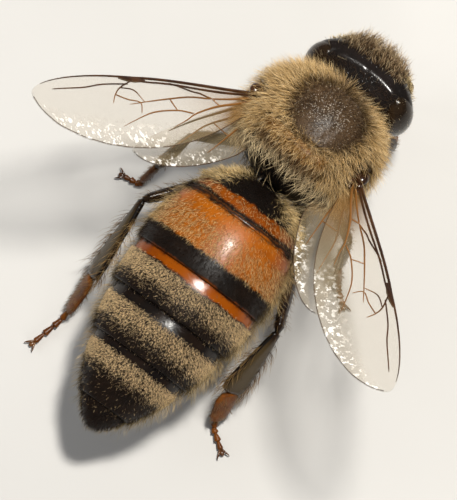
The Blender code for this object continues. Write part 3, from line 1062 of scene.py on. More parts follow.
# Where the abdomen's colours change, in millimetres behind its rim
ORANGE_STRETCHES = ((-0.22, 0.12, RUST), (0.36, 1.74, AMBER), (2.42, 2.76, RUST))
FELTED_STRETCHES = ((2.76, 3.28), (4.18, 4.72), (5.58, 6.02))
DARK_STRETCHES = ((0.12, 0.36), (1.74, 2.36), (3.36, 3.80), (4.80, 5.28), (6.10, 9.00))
BARE_STRETCHES = ((2.42, 2.72), (3.84, 4.14), (5.34, 5.60))
FELT_FADES = ((2.78, 3.14, 3.46), (4.20, 4.58, 4.92), (5.60, 5.90, 6.22))
RIM_END = -0.22
PALE_STATION = 4.4
# The station whose hair colour is dark: real dark bands, and painted shade on the first plate's front face
DARK_STATION = 7.0

# Limits that no field reaches
BEFORE, BEYOND = -2.0, 2.0


def marked(mark: str, colour: Colour, soft: float = 0.3) -> Zone:
    """Return the zone where one of a skin's marks is more than half there."""
    return Zone(mark, 0.5, BEYOND, colour, soft)


PLATE_ZONES = (
    *(Zone("station", *stretch, soft=0.06) for stretch in ORANGE_STRETCHES),
    Zone("station", 0.23, 0.28, (0.085, 0.028, 0.006), soft=0.025),
    *(Zone("station", low, high, (0.012, 0.008, 0.005)) for low, high in FELTED_STRETCHES),
    # The first plate's steep front face is painted black: painted shade where it falls away under the thorax
    Zone("station", BEFORE, RIM_END, BLACK, soft=0.03),
    Zone("girth", 0.67, BEYOND, (0.085, 0.042, 0.016), soft=0.03, strength=0.7),
)
POLISHED_ZONES = tuple(Zone("station", low, high, BLACK, strength=0.5) for low, high in BARE_STRETCHES)
ABDOMEN_HAIR_ZONES = (
    Zone("station", BEFORE, 0.30, STRAW, soft=0.1),
    *(Zone("station", low, high, DARK_HAIR, soft=0.05) for low, high in DARK_STRETCHES),
    *(Zone("station", low, end, ASH, soft=0.05) for low, _, end in FELT_FADES),
    Zone("girth", 0.46, BEYOND, (0.66, 0.49, 0.24), soft=0.08, strength=0.7),
    Zone("station", BEFORE, RIM_END, (0.88, 0.62, 0.27), soft=0.1),
)
THORAX_ZONES = (marked("crest", (0.17, 0.072, 0.018), 0.2), marked("rear", BLACK, 0.2))
THORAX_HAIR_ZONES = (
    marked("flank", (0.56, 0.39, 0.19), 0.35),
    marked("disc", (0.17, 0.098, 0.048)),
    marked("crest", (0.62, 0.37, 0.13)),
    marked("rear", (0.60, 0.44, 0.22)),
    # Darker hair in the hollow behind the scutellum's crest: painted shade
    marked("hollow", (0.14, 0.070, 0.026), 0.4),
    marked("lock", (0.74, 0.57, 0.32)),
    # Near-white short hairs on the disc stand in for glints: painted sparkle
    marked("silver", (1.0, 0.93, 0.84)),
)
HEAD_HAIR_ZONES = (
    marked("temple", (0.60, 0.44, 0.20)),
    marked("vertex", (0.26, 0.160, 0.078)),
    marked("nape", (0.050, 0.028, 0.013)),
)
VEIN_ZONES = (Zone("behind", 0.25, BEYOND, (0.20, 0.082, 0.017), soft=0.1, strength=0.8),)
HIND_LEG_ZONES = (
    Zone("stretch", 0.58, 0.98, (0.040, 0.026, 0.010), soft=0.05),
    Zone("edge_in", 0.78, BEYOND, BLACK, soft=0.08),
)


class Finishes:
    """Every material of the bee, made once."""

    def __init__(self) -> None:
        """Build the materials."""
        horn: Colour = (0.012, 0.006, 0.003)
        self.plate = Shell(
            "tergite", BLACK, (0.010, 0.006, 0.004), PLATE_ZONES, (0.24, 0.38), pits=11.0,
            coat=0.08, mirror=0.17, mottle=0.8, wobble=0.4, polished=POLISHED_ZONES,
        ).build()
        self.thorax = Shell(
            "scutum", (0.026, 0.016, 0.009), (0.058, 0.034, 0.017), THORAX_ZONES, (0.26, 0.38),
            pits=20.0, pit_depth=0.050, coat=0.0, mirror=0.08,
        ).build()
        self.head = Shell(
            "head_capsule", BLACK, (0.009, 0.006, 0.005), roughness=(0.16, 0.28), pits=12.0, mirror=0.3
        ).build()
        self.tegula = Shell("tegula", (0.016, 0.007, 0.004), (0.045, 0.018, 0.007), (), (0.14, 0.24)).build()
        self.leg = Shell("leg_shell", horn, (0.030, 0.014, 0.006), (), (0.22, 0.36), mirror=0.25).build()
        self.hind_leg = Shell(
            "pollen_leg", horn, (0.026, 0.013, 0.006), HIND_LEG_ZONES, (0.16, 0.28), mirror=0.25
        ).build()
        self.foot = Shell(
            "foot_shell", (0.055, 0.015, 0.002), (0.13, 0.038, 0.004), (), (0.25, 0.38), coat=0.0, mirror=0.2
        ).build()
        self.claw = Shell("claw_horn", (0.045, 0.018, 0.008), (0.11, 0.045, 0.015), (), (0.2, 0.3)).build()
        self.mouth = Shell(
            "mouthpart", (0.080, 0.027, 0.005), (0.16, 0.058, 0.012), (), (0.2, 0.35), mirror=0.25
        ).build()
        self.feeler = Shell(
            "feeler_shell", (0.010, 0.006, 0.004), (0.026, 0.013, 0.007), (), (0.35, 0.5),
            pits=30.0, coat=0.0, mirror=0.18,
        ).build()
        self.vein = Shell(
            "wing_vein", (0.020, 0.008, 0.004), (0.055, 0.022, 0.008), VEIN_ZONES, (0.25, 0.4)
        ).build()
        self.eye = Facets().build()
        self.ocellus = Facets("ocellus", (0.030, 0.014, 0.006), (0.07, 0.034, 0.014), 4.0, 0.0005).build()
        self.wing = Membrane().build()
        self.abdomen_hair = Hair("abdomen_hair", GOLD, ABDOMEN_HAIR_ZONES, spread=1.0).build()
        self.thorax_hair = Hair("thorax_hair", (0.68, 0.43, 0.165), THORAX_HAIR_ZONES, 0.9, 1.1).build()
        self.head_hair = Hair("head_hair", (0.58, 0.46, 0.28), HEAD_HAIR_ZONES, 0.92, 1.3).build()
        self.leg_hair = Hair("leg_hair", (0.26, 0.145, 0.045), bleached=0.25).build()
        self.floor = Ground().build()


# Abdomen


@dataclass
class Abdomen:
    """Six shell plates on a shared axis, each tucked under the one before it.

    Places along the axis are stations, in millimetres behind the rim. Tucked and lip give the
    rings ahead of and behind a plate, as (distance, depth under the body's form).
    """

    finishes: Finishes
    rim: Place = (-2.84, 0.0, 3.06)
    tip: Place = (-10.62, -0.58, 2.36)
    neck: float = -1.0
    widest: float = 1.94
    half_width: float = 2.17
    half_height: float = 1.84
    front_power: float = 2.2
    rear_power: float = 0.68
    roundness: float = 2.15
    belly_inset: float = 0.05
    belly_edge: Pair = (0.66, 0.69)
    ends: tuple[float, ...] = (-0.97, 0.30, 2.34, 3.75, 5.25, 7.00)
    flares: tuple[float, ...] = (0.018, 0.035, 0.035, 0.035, 0.035, 0.035)
    tucks: tuple[float, ...] = (0.0, 0.02, 0.085, 0.125, 0.09, 0.07)
    tucked: Pairs = ((0.30, 0.28), (0.20, 0.21), (0.10, 0.15))
    lip: Pairs = (
        (0.055, 0.0), (0.075, 0.02), (0.06, 0.05), (0.0, 0.06), (-0.12, 0.12), (-0.25, 0.24)
    )
    waist_profile: Profile = ((0, 0.42, 0.42), (0.4, 0.30, 0.34), (0.7, 0.30, 0.36), (1, 0.40, 0.44))
    sides: int = 108
    plate_rows: int = 34
    coat_rows: int = 190
    seed: int = 11
    front_fur: Fur = Fur(420, (0.24, 0.50), 0.010, 0.55, 0.9, 0.5, 0.4, 0.2, (60, 160), 3)
    # Dark hairs on the first plate's front face, as painted shade
    bristle_fur: Fur = Fur(230, (0.12, 0.28), 0.011, 0.75, 0.8, 0.7, 0.35, 0.2, (60, 160), 3)
    rim_fur: Fur = Fur(260, (0.10, 0.22), 0.009, 0.75, 0.8, 0.5, 0.35)
    golden_fur: Fur = Fur(700, (0.12, 0.24), 0.0085, 0.85, 0.5, 0.4, 0.3)
    felt_fur: Fur = Fur(2700, (0.055, 0.12), 0.009, 0.62, 0.5, 0.8, 0.42, 0.45, (300, 190))
    dark_fur: Fur = Fur(380, (0.12, 0.24), 0.009, 0.75, 0.5, 0.5, 0.35)
    speck_fur: Fur = Fur(105, (0.06, 0.14), 0.0085, 0.70, 0.5, 0.8, 0.4)
    fringe_fur: Fur = Fur(125, (0.28, 0.60), 0.0075, 0.66, 0.6, 0.5, 0.35, 0.10, (90, 150), 3)
    edge_fur: Fur = Fur(200, (0.22, 0.38), 0.010, 1.10, 0.4, 0.3, 0.2)
    belly_fur: Fur = Fur(70, (0.20, 0.36), 0.014, 1.1, 0.5, 0.35, 0.2)
    tip_fur: Fur = Fur(240, (0.12, 0.26), 0.011, 0.9, 0.5, 0.4, 0.3)

    def __post_init__(self) -> None:
        """Work out the axes."""
        self.start = bee(*self.rim)
        run = bee(*self.tip) - self.start
        self.length = float(np.linalg.norm(run))
        self.direction = run / self.length
        self.side = unit(np.cross(self.direction, UP))
        self.upward = unit(np.cross(self.side, self.direction))

    def swell(self, station: Array) -> Array:
        """Work out how full the abdomen is.

        Args:
            station: places along the axis.

        Returns:
            The share of its full width at each of them.
        """
        front = np.clip((station - self.neck) / (self.widest - self.neck), 0, 1)
        rear = np.clip((station - self.widest) / (self.length - self.widest), 0, 1)
        rising = (1 - (1 - front) ** self.front_power) ** (1 / self.front_power)
        return np.where(station < self.widest, rising, (1 - rear * rear) ** self.rear_power)

    def skin(self, stations: Array, insets: Array) -> Surface:
        """Make a skin through rings.

        Args:
            stations: where along the axis each ring lies.
            insets: how far each ring lies inside the body's form.

        Returns:
            The skin, with station along it and girth around it, from back to belly.
        """
        angle = ring_angles(self.sides)[None]
        girth = np.abs((angle - math.pi / 2 + math.pi) % FULL_TURN - math.pi) / math.pi
        swell = self.swell(stations)[:, None]
        edge = insets[:, None] + self.belly_inset * step(*self.belly_edge, girth)
        edge = edge * np.minimum(1, swell * 3)
        across, high = (np.maximum(half * swell - edge, 0.01) for half in (self.half_width, self.half_height))
        x, y = superellipse(angle, across, high, high, self.roundness)
        along = stations[:, None, None] * self.direction
        points = self.start + along + x[..., None] * self.side + y[..., None] * self.upward
        return Surface(points, {"station": stations[:, None], "girth": girth})

    @staticmethod
    def inset(share: Array, tuck: Array | float, flare: Array | float) -> Array:
        """Return how deep a plate lies at shares of its length, from its tucked front to its flared end."""
        return tuck * fall(0, 0.45, share) - flare * step(0.4, 1.0, share)

    def plates(self) -> None:
        """Make the six plates with their tucked fronts, flared margins and turned lips."""
        ends = (*self.ends, self.length - 0.02)
        slots = (Slot.ORANGE, Slot.ORANGE, Slot.BANDED, Slot.BANDED, Slot.BLACK, Slot.BLACK)
        share = np.linspace(0, 1, self.plate_rows)
        tucked, lip = np.array(self.tucked).T, np.array(self.lip).T
        for number, slot in enumerate(slots):
            front, back = ends[number], ends[number + 1]
            stations = front + (back - front) * share
            flare = self.flares[number]
            insets = self.inset(share, self.tucks[number], flare)
            if number > 0:
                stations = np.concatenate([front - tucked[0], stations])
                insets = np.concatenate([tucked[1], insets])
            if number < len(slots) - 1:
                stations = np.concatenate([stations, back + lip[0]])
                insets = np.concatenate([insets, -flare + lip[1]])
            skin = self.skin(stations, insets)
            add_piece(f"tergite_{number + 1}", [skin], self.finishes.plate, slot, f"abdomen_{number + 1}")

    def waist(self) -> None:
        """Make the narrow waist in front of the first plate."""
        path = [bee(-1.30, 0, 3.22), bee(-1.75, 0, 3.06), self.start + self.direction * (self.neck + 0.25)]
        add_piece("waist", [tube(path, self.waist_profile)], self.finishes.head, Slot.BLACK, "petiole")

    def coat(self) -> None:
        """Grow the fringe, felt bands and sparse hair."""
        stations = np.linspace(-0.92, self.length - 0.04, self.coat_rows)
        ends = np.array([*self.ends, self.length])
        which = np.clip(np.searchsorted(ends, stations, side="right") - 1, 0, len(self.ends) - 1)
        share = (stations - ends[which]) / (ends[which + 1] - ends[which])
        tucks, flares = np.array([self.tucks, self.flares])[:, which]
        skin = self.skin(stations, self.inset(share, tucks, flares))
        s, girth = skin.fields["station"], skin.fields["girth"]
        # The dark copy colours hair as the dark bands do: real dark hair, and painted shade on the front face
        pale, dark_hair_and_shade = (skin.with_marks(station=mark) for mark in (PALE_STATION, DARK_STATION))
        coat = Coat("abdomen_coat", self.seed, ("station", "girth"))

        def back(root: Array, normal: Array) -> Array:
            """Lie towards the tip and a little outwards."""
            return self.direction + 0.10 * normal

        def upwards(root: Array, normal: Array) -> Array:
            """Lie away from the axis on the front face."""
            offset = root - self.start
            return unit(offset - (offset @ self.direction)[:, None] * self.direction)

        def stretch(low: float, high: float, soft: float = 0.06) -> Array:
            """Be 1 between two stations."""
            return step(low - soft, low + soft, s) * fall(high - soft, high + soft, s)

        upper = fall(0.52, 0.66, girth)
        flank = step(0.38, 0.50, girth) * fall(0.70, 0.80, girth)
        shoulder = step(0.12, 0.30, girth)
        coat.grow(skin, self.front_fur, upwards, stretch(BEFORE, -0.16) * shoulder)
        # Dark hairs on the first plate's front face: painted shade where it falls away under the thorax
        coat.grow(dark_hair_and_shade, self.bristle_fur, upwards, stretch(BEFORE, -0.20) * (1 - shoulder))
        coat.grow(skin, self.rim_fur, back, stretch(-0.24, 0.5) * upper)
        amber = stretch(0.62, 1.78, 0.2) * (0.25 + 0.75 * step(0.6, 1.1, s))
        coat.grow(skin, self.golden_fur, back, amber * upper)
        wave = 0.06 * np.sin(31 * girth + 1.3 * s) + 0.05 * np.sin(74 * girth + 2.0 + s)
        thick = (0.85 + 0.2 * step(0.2, 0.45, girth)) * upper
        for low, full, fade in FELT_FADES:
            thinning = 1 - 0.88 * step(full - 0.05, fade + 0.06, s + wave)
            coat.grow(pale, self.felt_fur, back, stretch(low, fade + 0.15, 0.08) * thick * thinning)
        for low, high in DARK_STRETCHES:
            coat.grow(dark_hair_and_shade, self.dark_fur, back, stretch(low, high) * upper)
        bare = sum(stretch(low, high) for low, high in BARE_STRETCHES)
        tail = 1 - 0.6 * step(6.0, 6.4, s)
        coat.grow(pale, self.speck_fur, back, stretch(3.2, 7.4) * upper * (1 - np.clip(bare, 0, 1)) * tail)
        coat.grow(skin, self.fringe_fur, back, flank * stretch(0.1, 7.3))
        margins = sum(bell(s, end - 0.08, 0.09) for end in self.ends[1:])
        coat.grow(skin, self.edge_fur, back, margins * step(0.26, 0.42, girth))
        coat.grow(skin, self.belly_fur, back, step(0.60, 0.70, girth) * stretch(-0.2, 7.2))
        coat.grow(skin, self.tip_fur, back, stretch(6.9, 7.9))
        coat.make(self.finishes.abdomen_hair)


# Thorax


@dataclass
class Thorax:
    """One skin for the whole middle body, with its dense coat."""

    finishes: Finishes
    middle: float = -0.05
    ahead: float = 1.52
    behind: float = 1.72
    half_width: float = 2.06
    top: float = 5.52
    bottom: float = 2.12
    tail_height: float = 3.30
    tail_power: float = 2.2
    power: float = 2.4
    roundness: float = 2.15
    overhang: float = 0.42
    arc_width: float = 1.1
    crest_height: float = 0.20
    groove_depth: float = 0.10
    furrow_depth: float = 0.028
    midline_depth: float = 0.022
    disc_centre: Pair = (0.62, -0.22)
    disc_reach: Pair = (1.02, 1.12)
    parting: Place = (0.62, 0.0, 4.3)
    wing_gap: Place = (0.02, 1.84, 4.52)
    rows: int = 160
    columns: int = 160
    seed: int = 23
    pile: Fur = Fur(900, (0.32, 0.72), 0.009, 0.40, 0.7, 0.7, 0.35, 0.42, (150, 130), 3)
    side_fur: Fur = Fur(420, (0.34, 0.64), 0.0095, 0.60, 0.8, 0.5, 0.3, 0.2, (80, 80), 3)
    disc_fur: Fur = Fur(900, (0.07, 0.17), 0.009, 0.60, 0.6, 1.4, 0.45, 0.4, (130, 130))
    # Tiny near-white hairs on the disc: painted sparkle
    spangle_fur: Fur = Fur(430, (0.03, 0.06), 0.016, 1.0, 0.4, 1.4, 0.35)
    ridge_fur: Fur = Fur(460, (0.26, 0.52), 0.010, 0.80, 0.8, 0.4, 0.3, 0.2, (90, 80), 3)
    lock_fur: Fur = Fur(130, (0.45, 0.85), 0.013, 0.75, 1.3, 0.35, 0.3, 0.45, (110, 90), 3)
    tail_fur: Fur = Fur(60, (0.40, 0.80), 0.012, 0.7, 0.9, 0.5, 0.3, 0.2, (70, 60), 3)

    def skin(self) -> Surface:
        """Make the skin with its scutum, scutellum and grooves.

        Returns:
            The skin, with its marks as fields.
        """
        turn = np.linspace(-math.pi / 2 + 0.03, math.pi / 2 - 0.03, self.rows)
        offset = np.sin(turn)
        reach = np.where(offset > 0, self.ahead, self.behind)
        forward = self.middle + offset * reach
        swell = np.maximum(1 - np.abs(offset) ** self.power, 0) ** (1 / self.power)
        height = (self.top + self.bottom) / 2
        rear = np.where(offset < 0, np.abs(offset) ** self.tail_power, 0)
        height = height + (self.tail_height - height) * rear
        half = ((self.top - self.bottom) / 2 * swell)[:, None]
        angle = ring_angles(self.columns)[None]
        x, y = superellipse(angle, self.half_width * swell[:, None], half, half, self.roundness)
        f = np.broadcast_to(forward[:, None], x.shape)
        f = f + self.overhang * (y / (self.top - self.bottom) * 2) * step(-0.2, 1.1, f)
        rise, arc, out = y / np.maximum(half, 0.05), (x / self.arc_width) ** 2, np.abs(x)
        upper = step(-0.2, 0.5, rise)
        top = upper * fall(0.95, 1.25, out)
        crest = bell(f - 0.14 * arc, -0.74, 0.25) * top
        groove = bell(f - 0.10 * arc, -0.42, 0.05) * upper * fall(1.3, 1.6, out)
        furrow = bell(out, 0.62 + 0.10 * (f - 0.4), 0.035) * upper * step(-0.2, 0.1, f) * fall(0.9, 1.1, f)
        midline = bell(x, 0.0, 0.03) * upper * step(0.4, 0.7, f) * fall(1.2, 1.4, f)
        lift = self.crest_height * crest - self.groove_depth * groove
        lift = lift - self.furrow_depth * furrow - self.midline_depth * midline
        (ahead, left), (long, wide) = self.disc_centre, self.disc_reach
        radius = np.hypot((x - left) / wide, (f - ahead) / long)
        marks = {
            "lift": lift,
            "disc": fall(0.72, 1.10, radius) * upper,
            "crown": fall(0.2, 0.75, radius),
            "crest": np.clip(crest * 1.4, 0, 1),
            "flank": fall(-0.35, 0.45, rise),
            "rear": fall(-1.22, -1.02, f),
            "brow": bell(f - 0.10 * arc, -0.52, 0.055) * top,
            # Painted shade: where the hair behind the crest is darker and thinner
            "hollow": bell(f - 0.10 * arc, -0.84, 0.11) * top,
            "lock": bell(f, -1.06, 0.16) * step(-0.3, 0.3, rise),
            "silver": 0.0,
        }
        return Surface(bee(f, x, height[:, None] + y), marks).lifted()

    def build(self) -> None:
        """Make the skin and grow its coat."""
        skin = self.skin()
        nodes = ("pronotum", "mesothorax", "scutellum", "thorax_sides", "metathorax", "propodeum")
        add_piece("thorax_skin", [skin], self.finishes.thorax, Slot.COAT, *nodes)
        names = ("disc", "crest", "flank", "rear", "hollow", "lock", "crown", "brow")
        disc, crest, flank, rear, hollow, lock, crown, brow = (skin.fields[name] for name in names)
        coat = Coat("thorax_coat", self.seed, ("disc", "crest", "flank", "rear", "hollow", "lock", "silver"))
        centre = bee(*self.parting)

        def outwards(root: Array, normal: Array) -> Array:
            """Lie away from the middle of the back, and backwards."""
            away = (root - centre) * [1, 1, 0.2]
            return unit(away) + 0.35 * heading(-1, 0, 0.1)

        def backwards(root: Array, normal: Array) -> Array:
            """Lie towards the abdomen."""
            return heading(-1, 0, 0.25) + 0.15 * normal

        open_wing = np.ones_like(disc)
        ahead, left, up = self.wing_gap
        for side in Side:
            gap = np.linalg.norm(skin.points - bee(ahead, side.value * left, up), axis=-1)
            open_wing = open_wing * (0.04 + 0.96 * step(0.42, 0.66, gap))
        rim = (1 - disc) * (1 - flank) * (1 - rear) * open_wing
        thinned = (1 - 0.6 * crest) * (1 - 0.75 * lock) * (1 - 0.45 * hollow)
        coat.grow(skin, self.pile, outwards, rim * thinned)
        coat.grow(skin, self.side_fur, outwards, flank * (1 - rear) * open_wing)
        coat.grow(skin, self.disc_fur, outwards, disc * (1.1 - 0.4 * crown))
        # Painted sparkle: near-white hairs standing in for glints, most at the disc's middle
        coat.grow(skin.with_marks(silver=1.0), self.spangle_fur, outwards, disc * (0.12 + 0.88 * crown))
        coat.grow(skin, self.ridge_fur, backwards, crest * (1 - 0.55 * brow))
        coat.grow(skin, self.lock_fur, backwards, lock)
        coat.grow(skin, self.tail_fur, backwards, rear * (0.05 + 0.95 * step(0.2, 0.7, flank)))
        coat.make(self.finishes.thorax_hair)


# Head


@dataclass
class Head:
    """The head on its own axes: x to the left, v towards the crown, w out of the face."""

    finishes: Finishes
    middle: Place = (2.12, -0.08, 3.30)
    pitch: float = math.radians(20)
    yaw: float = math.radians(4)
    half_width: float = 1.80
    face_width: float = 1.40
    crown: float = 1.54
    chin: float = 1.80
    crown_power: float = 3.2
    chin_power: float = 1.75
    back_profile: Pairs = (
        (-0.45, 0.05), (-0.50, 0.36), (-0.70, 0.58), (-0.66, 0.74), (-0.42, 0.87), (-0.12, 0.955)
    )
    face_profile: Pairs = (
        (0.20, 0.995), (0.47, 0.96), (0.72, 0.83), (0.92, 0.61), (1.03, 0.34), (1.06, 0.03)
    )
    clypeus_height: float = 0.13
    labrum_height: float = 0.07
    socket_depth: float = 0.07
    keel_height: float = 0.04
    crest_height: float = 0.05
    seam_depth: float = 0.03
    cheek_height: float = 0.04
    rows: int = 110
    columns: int = 132
    eye_centre: Place = (1.21, 0.03, -0.10)
    eye_reach: Place = (0.645, 1.26, 0.61)
    eye_lean: float = 0.14
    eye_toe: float = math.radians(7)
    eye_bow: float = 0.10
    ocelli_places: Pairs = ((0.0, 1.12), (0.27, 1.36), (-0.27, 1.36))
    socket: Pair = (0.26, 0.03)
    elbow: Place = (0.86, -0.86, 1.62)
    lash_bulge: Place = (0.86, -1.80, 2.00)
    lash_end: Place = (0.56, -2.46, 1.86)
    lash_joints: int = 10
    scape_profile: Profile = ((0, 0.03), (0.03, 0.095), (0.08, 0.06), (0.16, 0.10), (0.9, 0.125), (1, 0.07))
    lash_root_profile: Profile = ((0.0, 0.03), (0.012, 0.085), (0.075, 0.11), (0.10, 0.06))
    jaw_path: tuple[Place, ...] = (
        (0.80, -1.30, 0.34), (0.74, -1.70, 0.42), (0.52, -2.08, 0.44), (0.20, -2.36, 0.36)
    )
    jaw_profile: Profile = (
        (0, 0.10, 0.12), (0.08, 0.17, 0.22), (0.35, 0.13, 0.15),
        (0.7, 0.14, 0.20), (0.92, 0.10, 0.17), (1, 0.02, 0.04),
    )
    tongue_profile: Profile = ((0, 0.22, 0.26), (0.3, 0.20, 0.24), (0.7, 0.10, 0.13), (1, 0.02))
    sheath_profile: Profile = ((0, 0.14, 0.12), (0.4, 0.15, 0.10), (0.8, 0.09, 0.06), (1, 0.02))
    palp_profile: Profile = ((0, 0.09, 0.08), (0.5, 0.07, 0.05), (1, 0.015))
    seed: int = 37
    eye_fur: Fur = Fur(34, (0.06, 0.11), 0.006, 0.35, 0.4, 1.0, 0.3)
    crown_fur: Fur = Fur(680, (0.28, 0.74), 0.0105, 0.58, 0.5, 0.6, 0.42, 0.45, (90, 160), 3)
    temple_fur: Fur = Fur(380, (0.12, 0.26), 0.009, 0.75, 0.6, 0.6, 0.35, 0.2, (90, 130), 3)
    face_fur: Fur = Fur(430, (0.12, 0.26), 0.009, 0.85, 0.6, 0.8, 0.35)
    clypeus_fur: Fur = Fur(70, (0.07, 0.15), 0.007, 0.9, 0.5, 0.6, 0.3)
    nape_fur: Fur = Fur(260, (0.12, 0.30), 0.009, 0.7, 0.5, 0.6, 0.3)
    gena_fur: Fur = Fur(420, (0.28, 0.58), 0.009, 0.5, 0.5, 0.6, 0.3)

    def __post_init__(self) -> None:
        """Work out the axes and start the coat."""
        self.coat = Coat("head_coat", self.seed, ("vertex", "temple", "nape"))
        flat = math.cos(self.pitch)
        self.left = heading(-math.sin(self.yaw), math.cos(self.yaw), 0)
        self.face = heading(flat * math.cos(self.yaw), flat * math.sin(self.yaw), -math.sin(self.pitch))
        self.up = unit(np.cross(self.face, self.left))

    def place(self, x: Array | float, v: Array | float, w: Array | float) -> Array:
        """Return places given on the head's own axes."""
        x, v, w = (np.asarray(part, float)[..., None] for part in np.broadcast_arrays(x, v, w))
        return bee(*self.middle) + self.left * x + self.up * v + self.face * w

    def on_side(self, side: Side, spot: Place) -> Array:
        """Return a place given for the left side, on either side."""
        return self.place(side.value * spot[0], *spot[1:])

    def turn(self, x: float, v: float, w: float) -> Array:
        """Return a direction given on the head's own axes, with its length."""
        return self.left * x + self.up * v + self.face * w

    def front(self, x: float, v: float) -> float:
        """Find the face's surface.

        Args:
            x: distance to the left of the middle.
            v: distance towards the crown.

        Returns:
            How far out the face lies there.
        """
        reach, power = (self.crown, self.crown_power) if v > 0 else (self.chin, self.chin_power)
        share = (abs(x / self.face_width) ** power + abs(v / reach) ** power) ** (1 / power)
        depth, width = np.array(self.face_profile).T
        return float(np.interp(share, width[::-1], depth[::-1]))

    def skin(self) -> Surface:
        """Make the head capsule with its crest, clypeus, frons and cheeks.

        Returns:
            The skin, with its marks as fields.
        """
        rings = curve((*self.back_profile, *self.face_profile), self.rows)
        depth, share = rings[:, :1], np.maximum(rings[:, 1:], 0.02)
        angle = ring_angles(self.columns)[None]
        power = np.where(np.sin(angle) > 0, self.crown_power, self.chin_power)
        half = self.half_width - (self.half_width - self.face_width) * step(0.02, 0.55, depth)
        x, v = superellipse(angle, half * share, self.crown * share, self.chin * share, power)
        w, out = np.broadcast_to(depth, x.shape), np.abs(x)
        front = step(0.25, 0.65, w)
        clypeus = fall(0.55, 0.66, out + 0.10 * (v + 1.0)) * step(-1.58, -1.46, v)
        clypeus *= fall(-0.66, -0.54, v + 0.35 * x**2) * front
        labrum = fall(0.34, 0.42, out) * fall(-1.62, -1.55, v)
        labrum = labrum * step(-1.85, -1.74, v) * step(0, 0.3, w)
        sockets = np.exp(-(((out - 0.26) / 0.16) ** 2 + ((v - 0.02) / 0.16) ** 2)) * front
        keel = bell(x, 0, 0.05) * step(-0.4, -0.2, v) * fall(0.5, 0.8, v) * front
        crest = bell(w + 0.13 * (x / 1.1) ** 2, -0.12, 0.15) * step(0.6, 1.0, v)
        crest *= (1 + 1.4 * np.clip(out / 1.15, 0, 1) ** 3) * fall(1.0, 1.35, out)
        seam = bell(x, 0, 0.025) * step(0.55, 0.8, v) * step(-0.3, 0.0, w)
        cheeks = bell(out, 0.98, 0.16) * bell(v, -1.0, 0.3) * step(-0.1, 0.3, w)
        lift = self.clypeus_height * clypeus + self.labrum_height * labrum - self.socket_depth * sockets
        lift = lift + self.keel_height * keel + self.crest_height * crest - self.seam_depth * seam
        lift = lift + self.cheek_height * cheeks
        gaps = (out, v, w), self.eye_centre, self.eye_reach
        inside = sum(((spot - middle) / reach) ** 2 for spot, middle, reach in zip(*gaps))
        marks = {
            "lift": lift,
            "vertex": step(0.40, 1.05, v) * step(-0.02, 0.12, w) * fall(0.85, 1.25, out),
            "tuft": step(0.60, 1.25, v) * step(0.0, 0.30, w) * fall(0.55, 1.20, out),
            "temple": step(0.72, 0.98, out) * step(0.15, 0.40, w),
            "face": front * (1 - clypeus),
            "behind": fall(-0.05, 0.10, w),
            "nape": fall(-0.36, -0.22, w) * fall(1.1, 1.4, out),
            "gena": fall(-0.30, -0.10, w) * step(1.1, 1.4, out),
            "clypeus": clypeus,
            "open": step(0.90, 1.15, inside),
        }
        return Surface(self.place(x, v, w), marks).lifted()

    def eye(self, side: Side) -> Surface:
        """Make one compound eye: a tall bean that leans in at its lower end.

        Args:
            side: the side of the head.

        Returns:
            The eye's skin.
        """
        sign, toe = side.value, self.eye_toe
        tall = self.turn(sign * math.sin(toe), math.cos(toe), -self.eye_lean) * self.eye_reach[1]
        out = self.turn(sign, 0, -0.10) * self.eye_reach[0]
        ahead = self.turn(0.10 * sign, 0, 1) * self.eye_reach[2]
        made = dome(self.on_side(side, self.eye_centre), (tall, out, ahead), 60, 72)
        bow = self.turn(-sign * self.eye_bow, 0, self.eye_bow)[None, None]
        made.points = made.points + bow * (made.fields["height"] ** 2)[..., None]
        return made

    def build(self) -> None:
        """Make the capsule, eyes, ocelli, feelers, mouth and hair."""
        skin = self.skin()
        add_piece("head_skin", [skin], self.finishes.head, Slot.COAT, "head")

        def upright(root: Array, normal: Array) -> Array:
            """Lie towards the crown."""
            return self.up + 0 * root

        for side in Side:
            eye = self.eye(side)
            add_piece(f"compound_eye_{side.word}", [eye], self.finishes.eye, Slot.EYE, f"eye_{side.word}")
            self.coat.grow(eye, self.eye_fur, upright)
            self.feeler(side)
            self.mandible(side)
        self.ocelli()
        self.tongue()
        self.hair(skin)
        self.coat.make(self.finishes.head_hair)

    def hair(self, skin: Surface) -> None:
        """Grow the upright crown hair, the pale temples and the short felt of the face.

        Args:
            skin: the head capsule.
        """
        coat, centre = self.coat, self.place(0, -0.2, 0.2)

        def outwards(root: Array, normal: Array) -> Array:
            """Lie away from the middle of the face."""
            return unit(root - centre) + 0.3 * self.up

        def crownwards(root: Array, normal: Array) -> Array:
            """Lie forwards over the crown."""
            return self.face * 0.8 + self.up

        names = ("vertex", "tuft", "temple", "face", "behind", "nape", "gena", "clypeus", "open")
        vertex, tuft, temple, face, behind, nape, gena, clypeus, open_ = (skin.fields[name] for name in names)
        bare = (1 - behind) * (1 - clypeus) * open_
        coat.grow(skin, self.crown_fur, crownwards, vertex * bare, 0.42 + 0.58 * tuft)
        coat.grow(skin, self.temple_fur, outwards, temple * (1 - behind) * open_)
        coat.grow(skin, self.face_fur, outwards, face * bare * (1 - 0.6 * vertex))
        coat.grow(skin, self.clypeus_fur, outwards, clypeus)
        coat.grow(skin, self.nape_fur, outwards, nape)
        coat.grow(skin, self.gena_fur, outwards, gena * open_)

    def ocelli(self) -> None:
        """Make the three small eyes of the crown."""
        axes = self.turn(0, 0.12, 0.08), self.turn(0.13, 0, 0), self.turn(0, -0.08, 0.12)
        places = (self.place(x, v, self.front(x, v) - 0.02) for x, v in self.ocelli_places)
        add_piece("ocelli", [dome(place, axes, 14, 20) for place in places], self.finishes.ocellus, Slot.EYE)

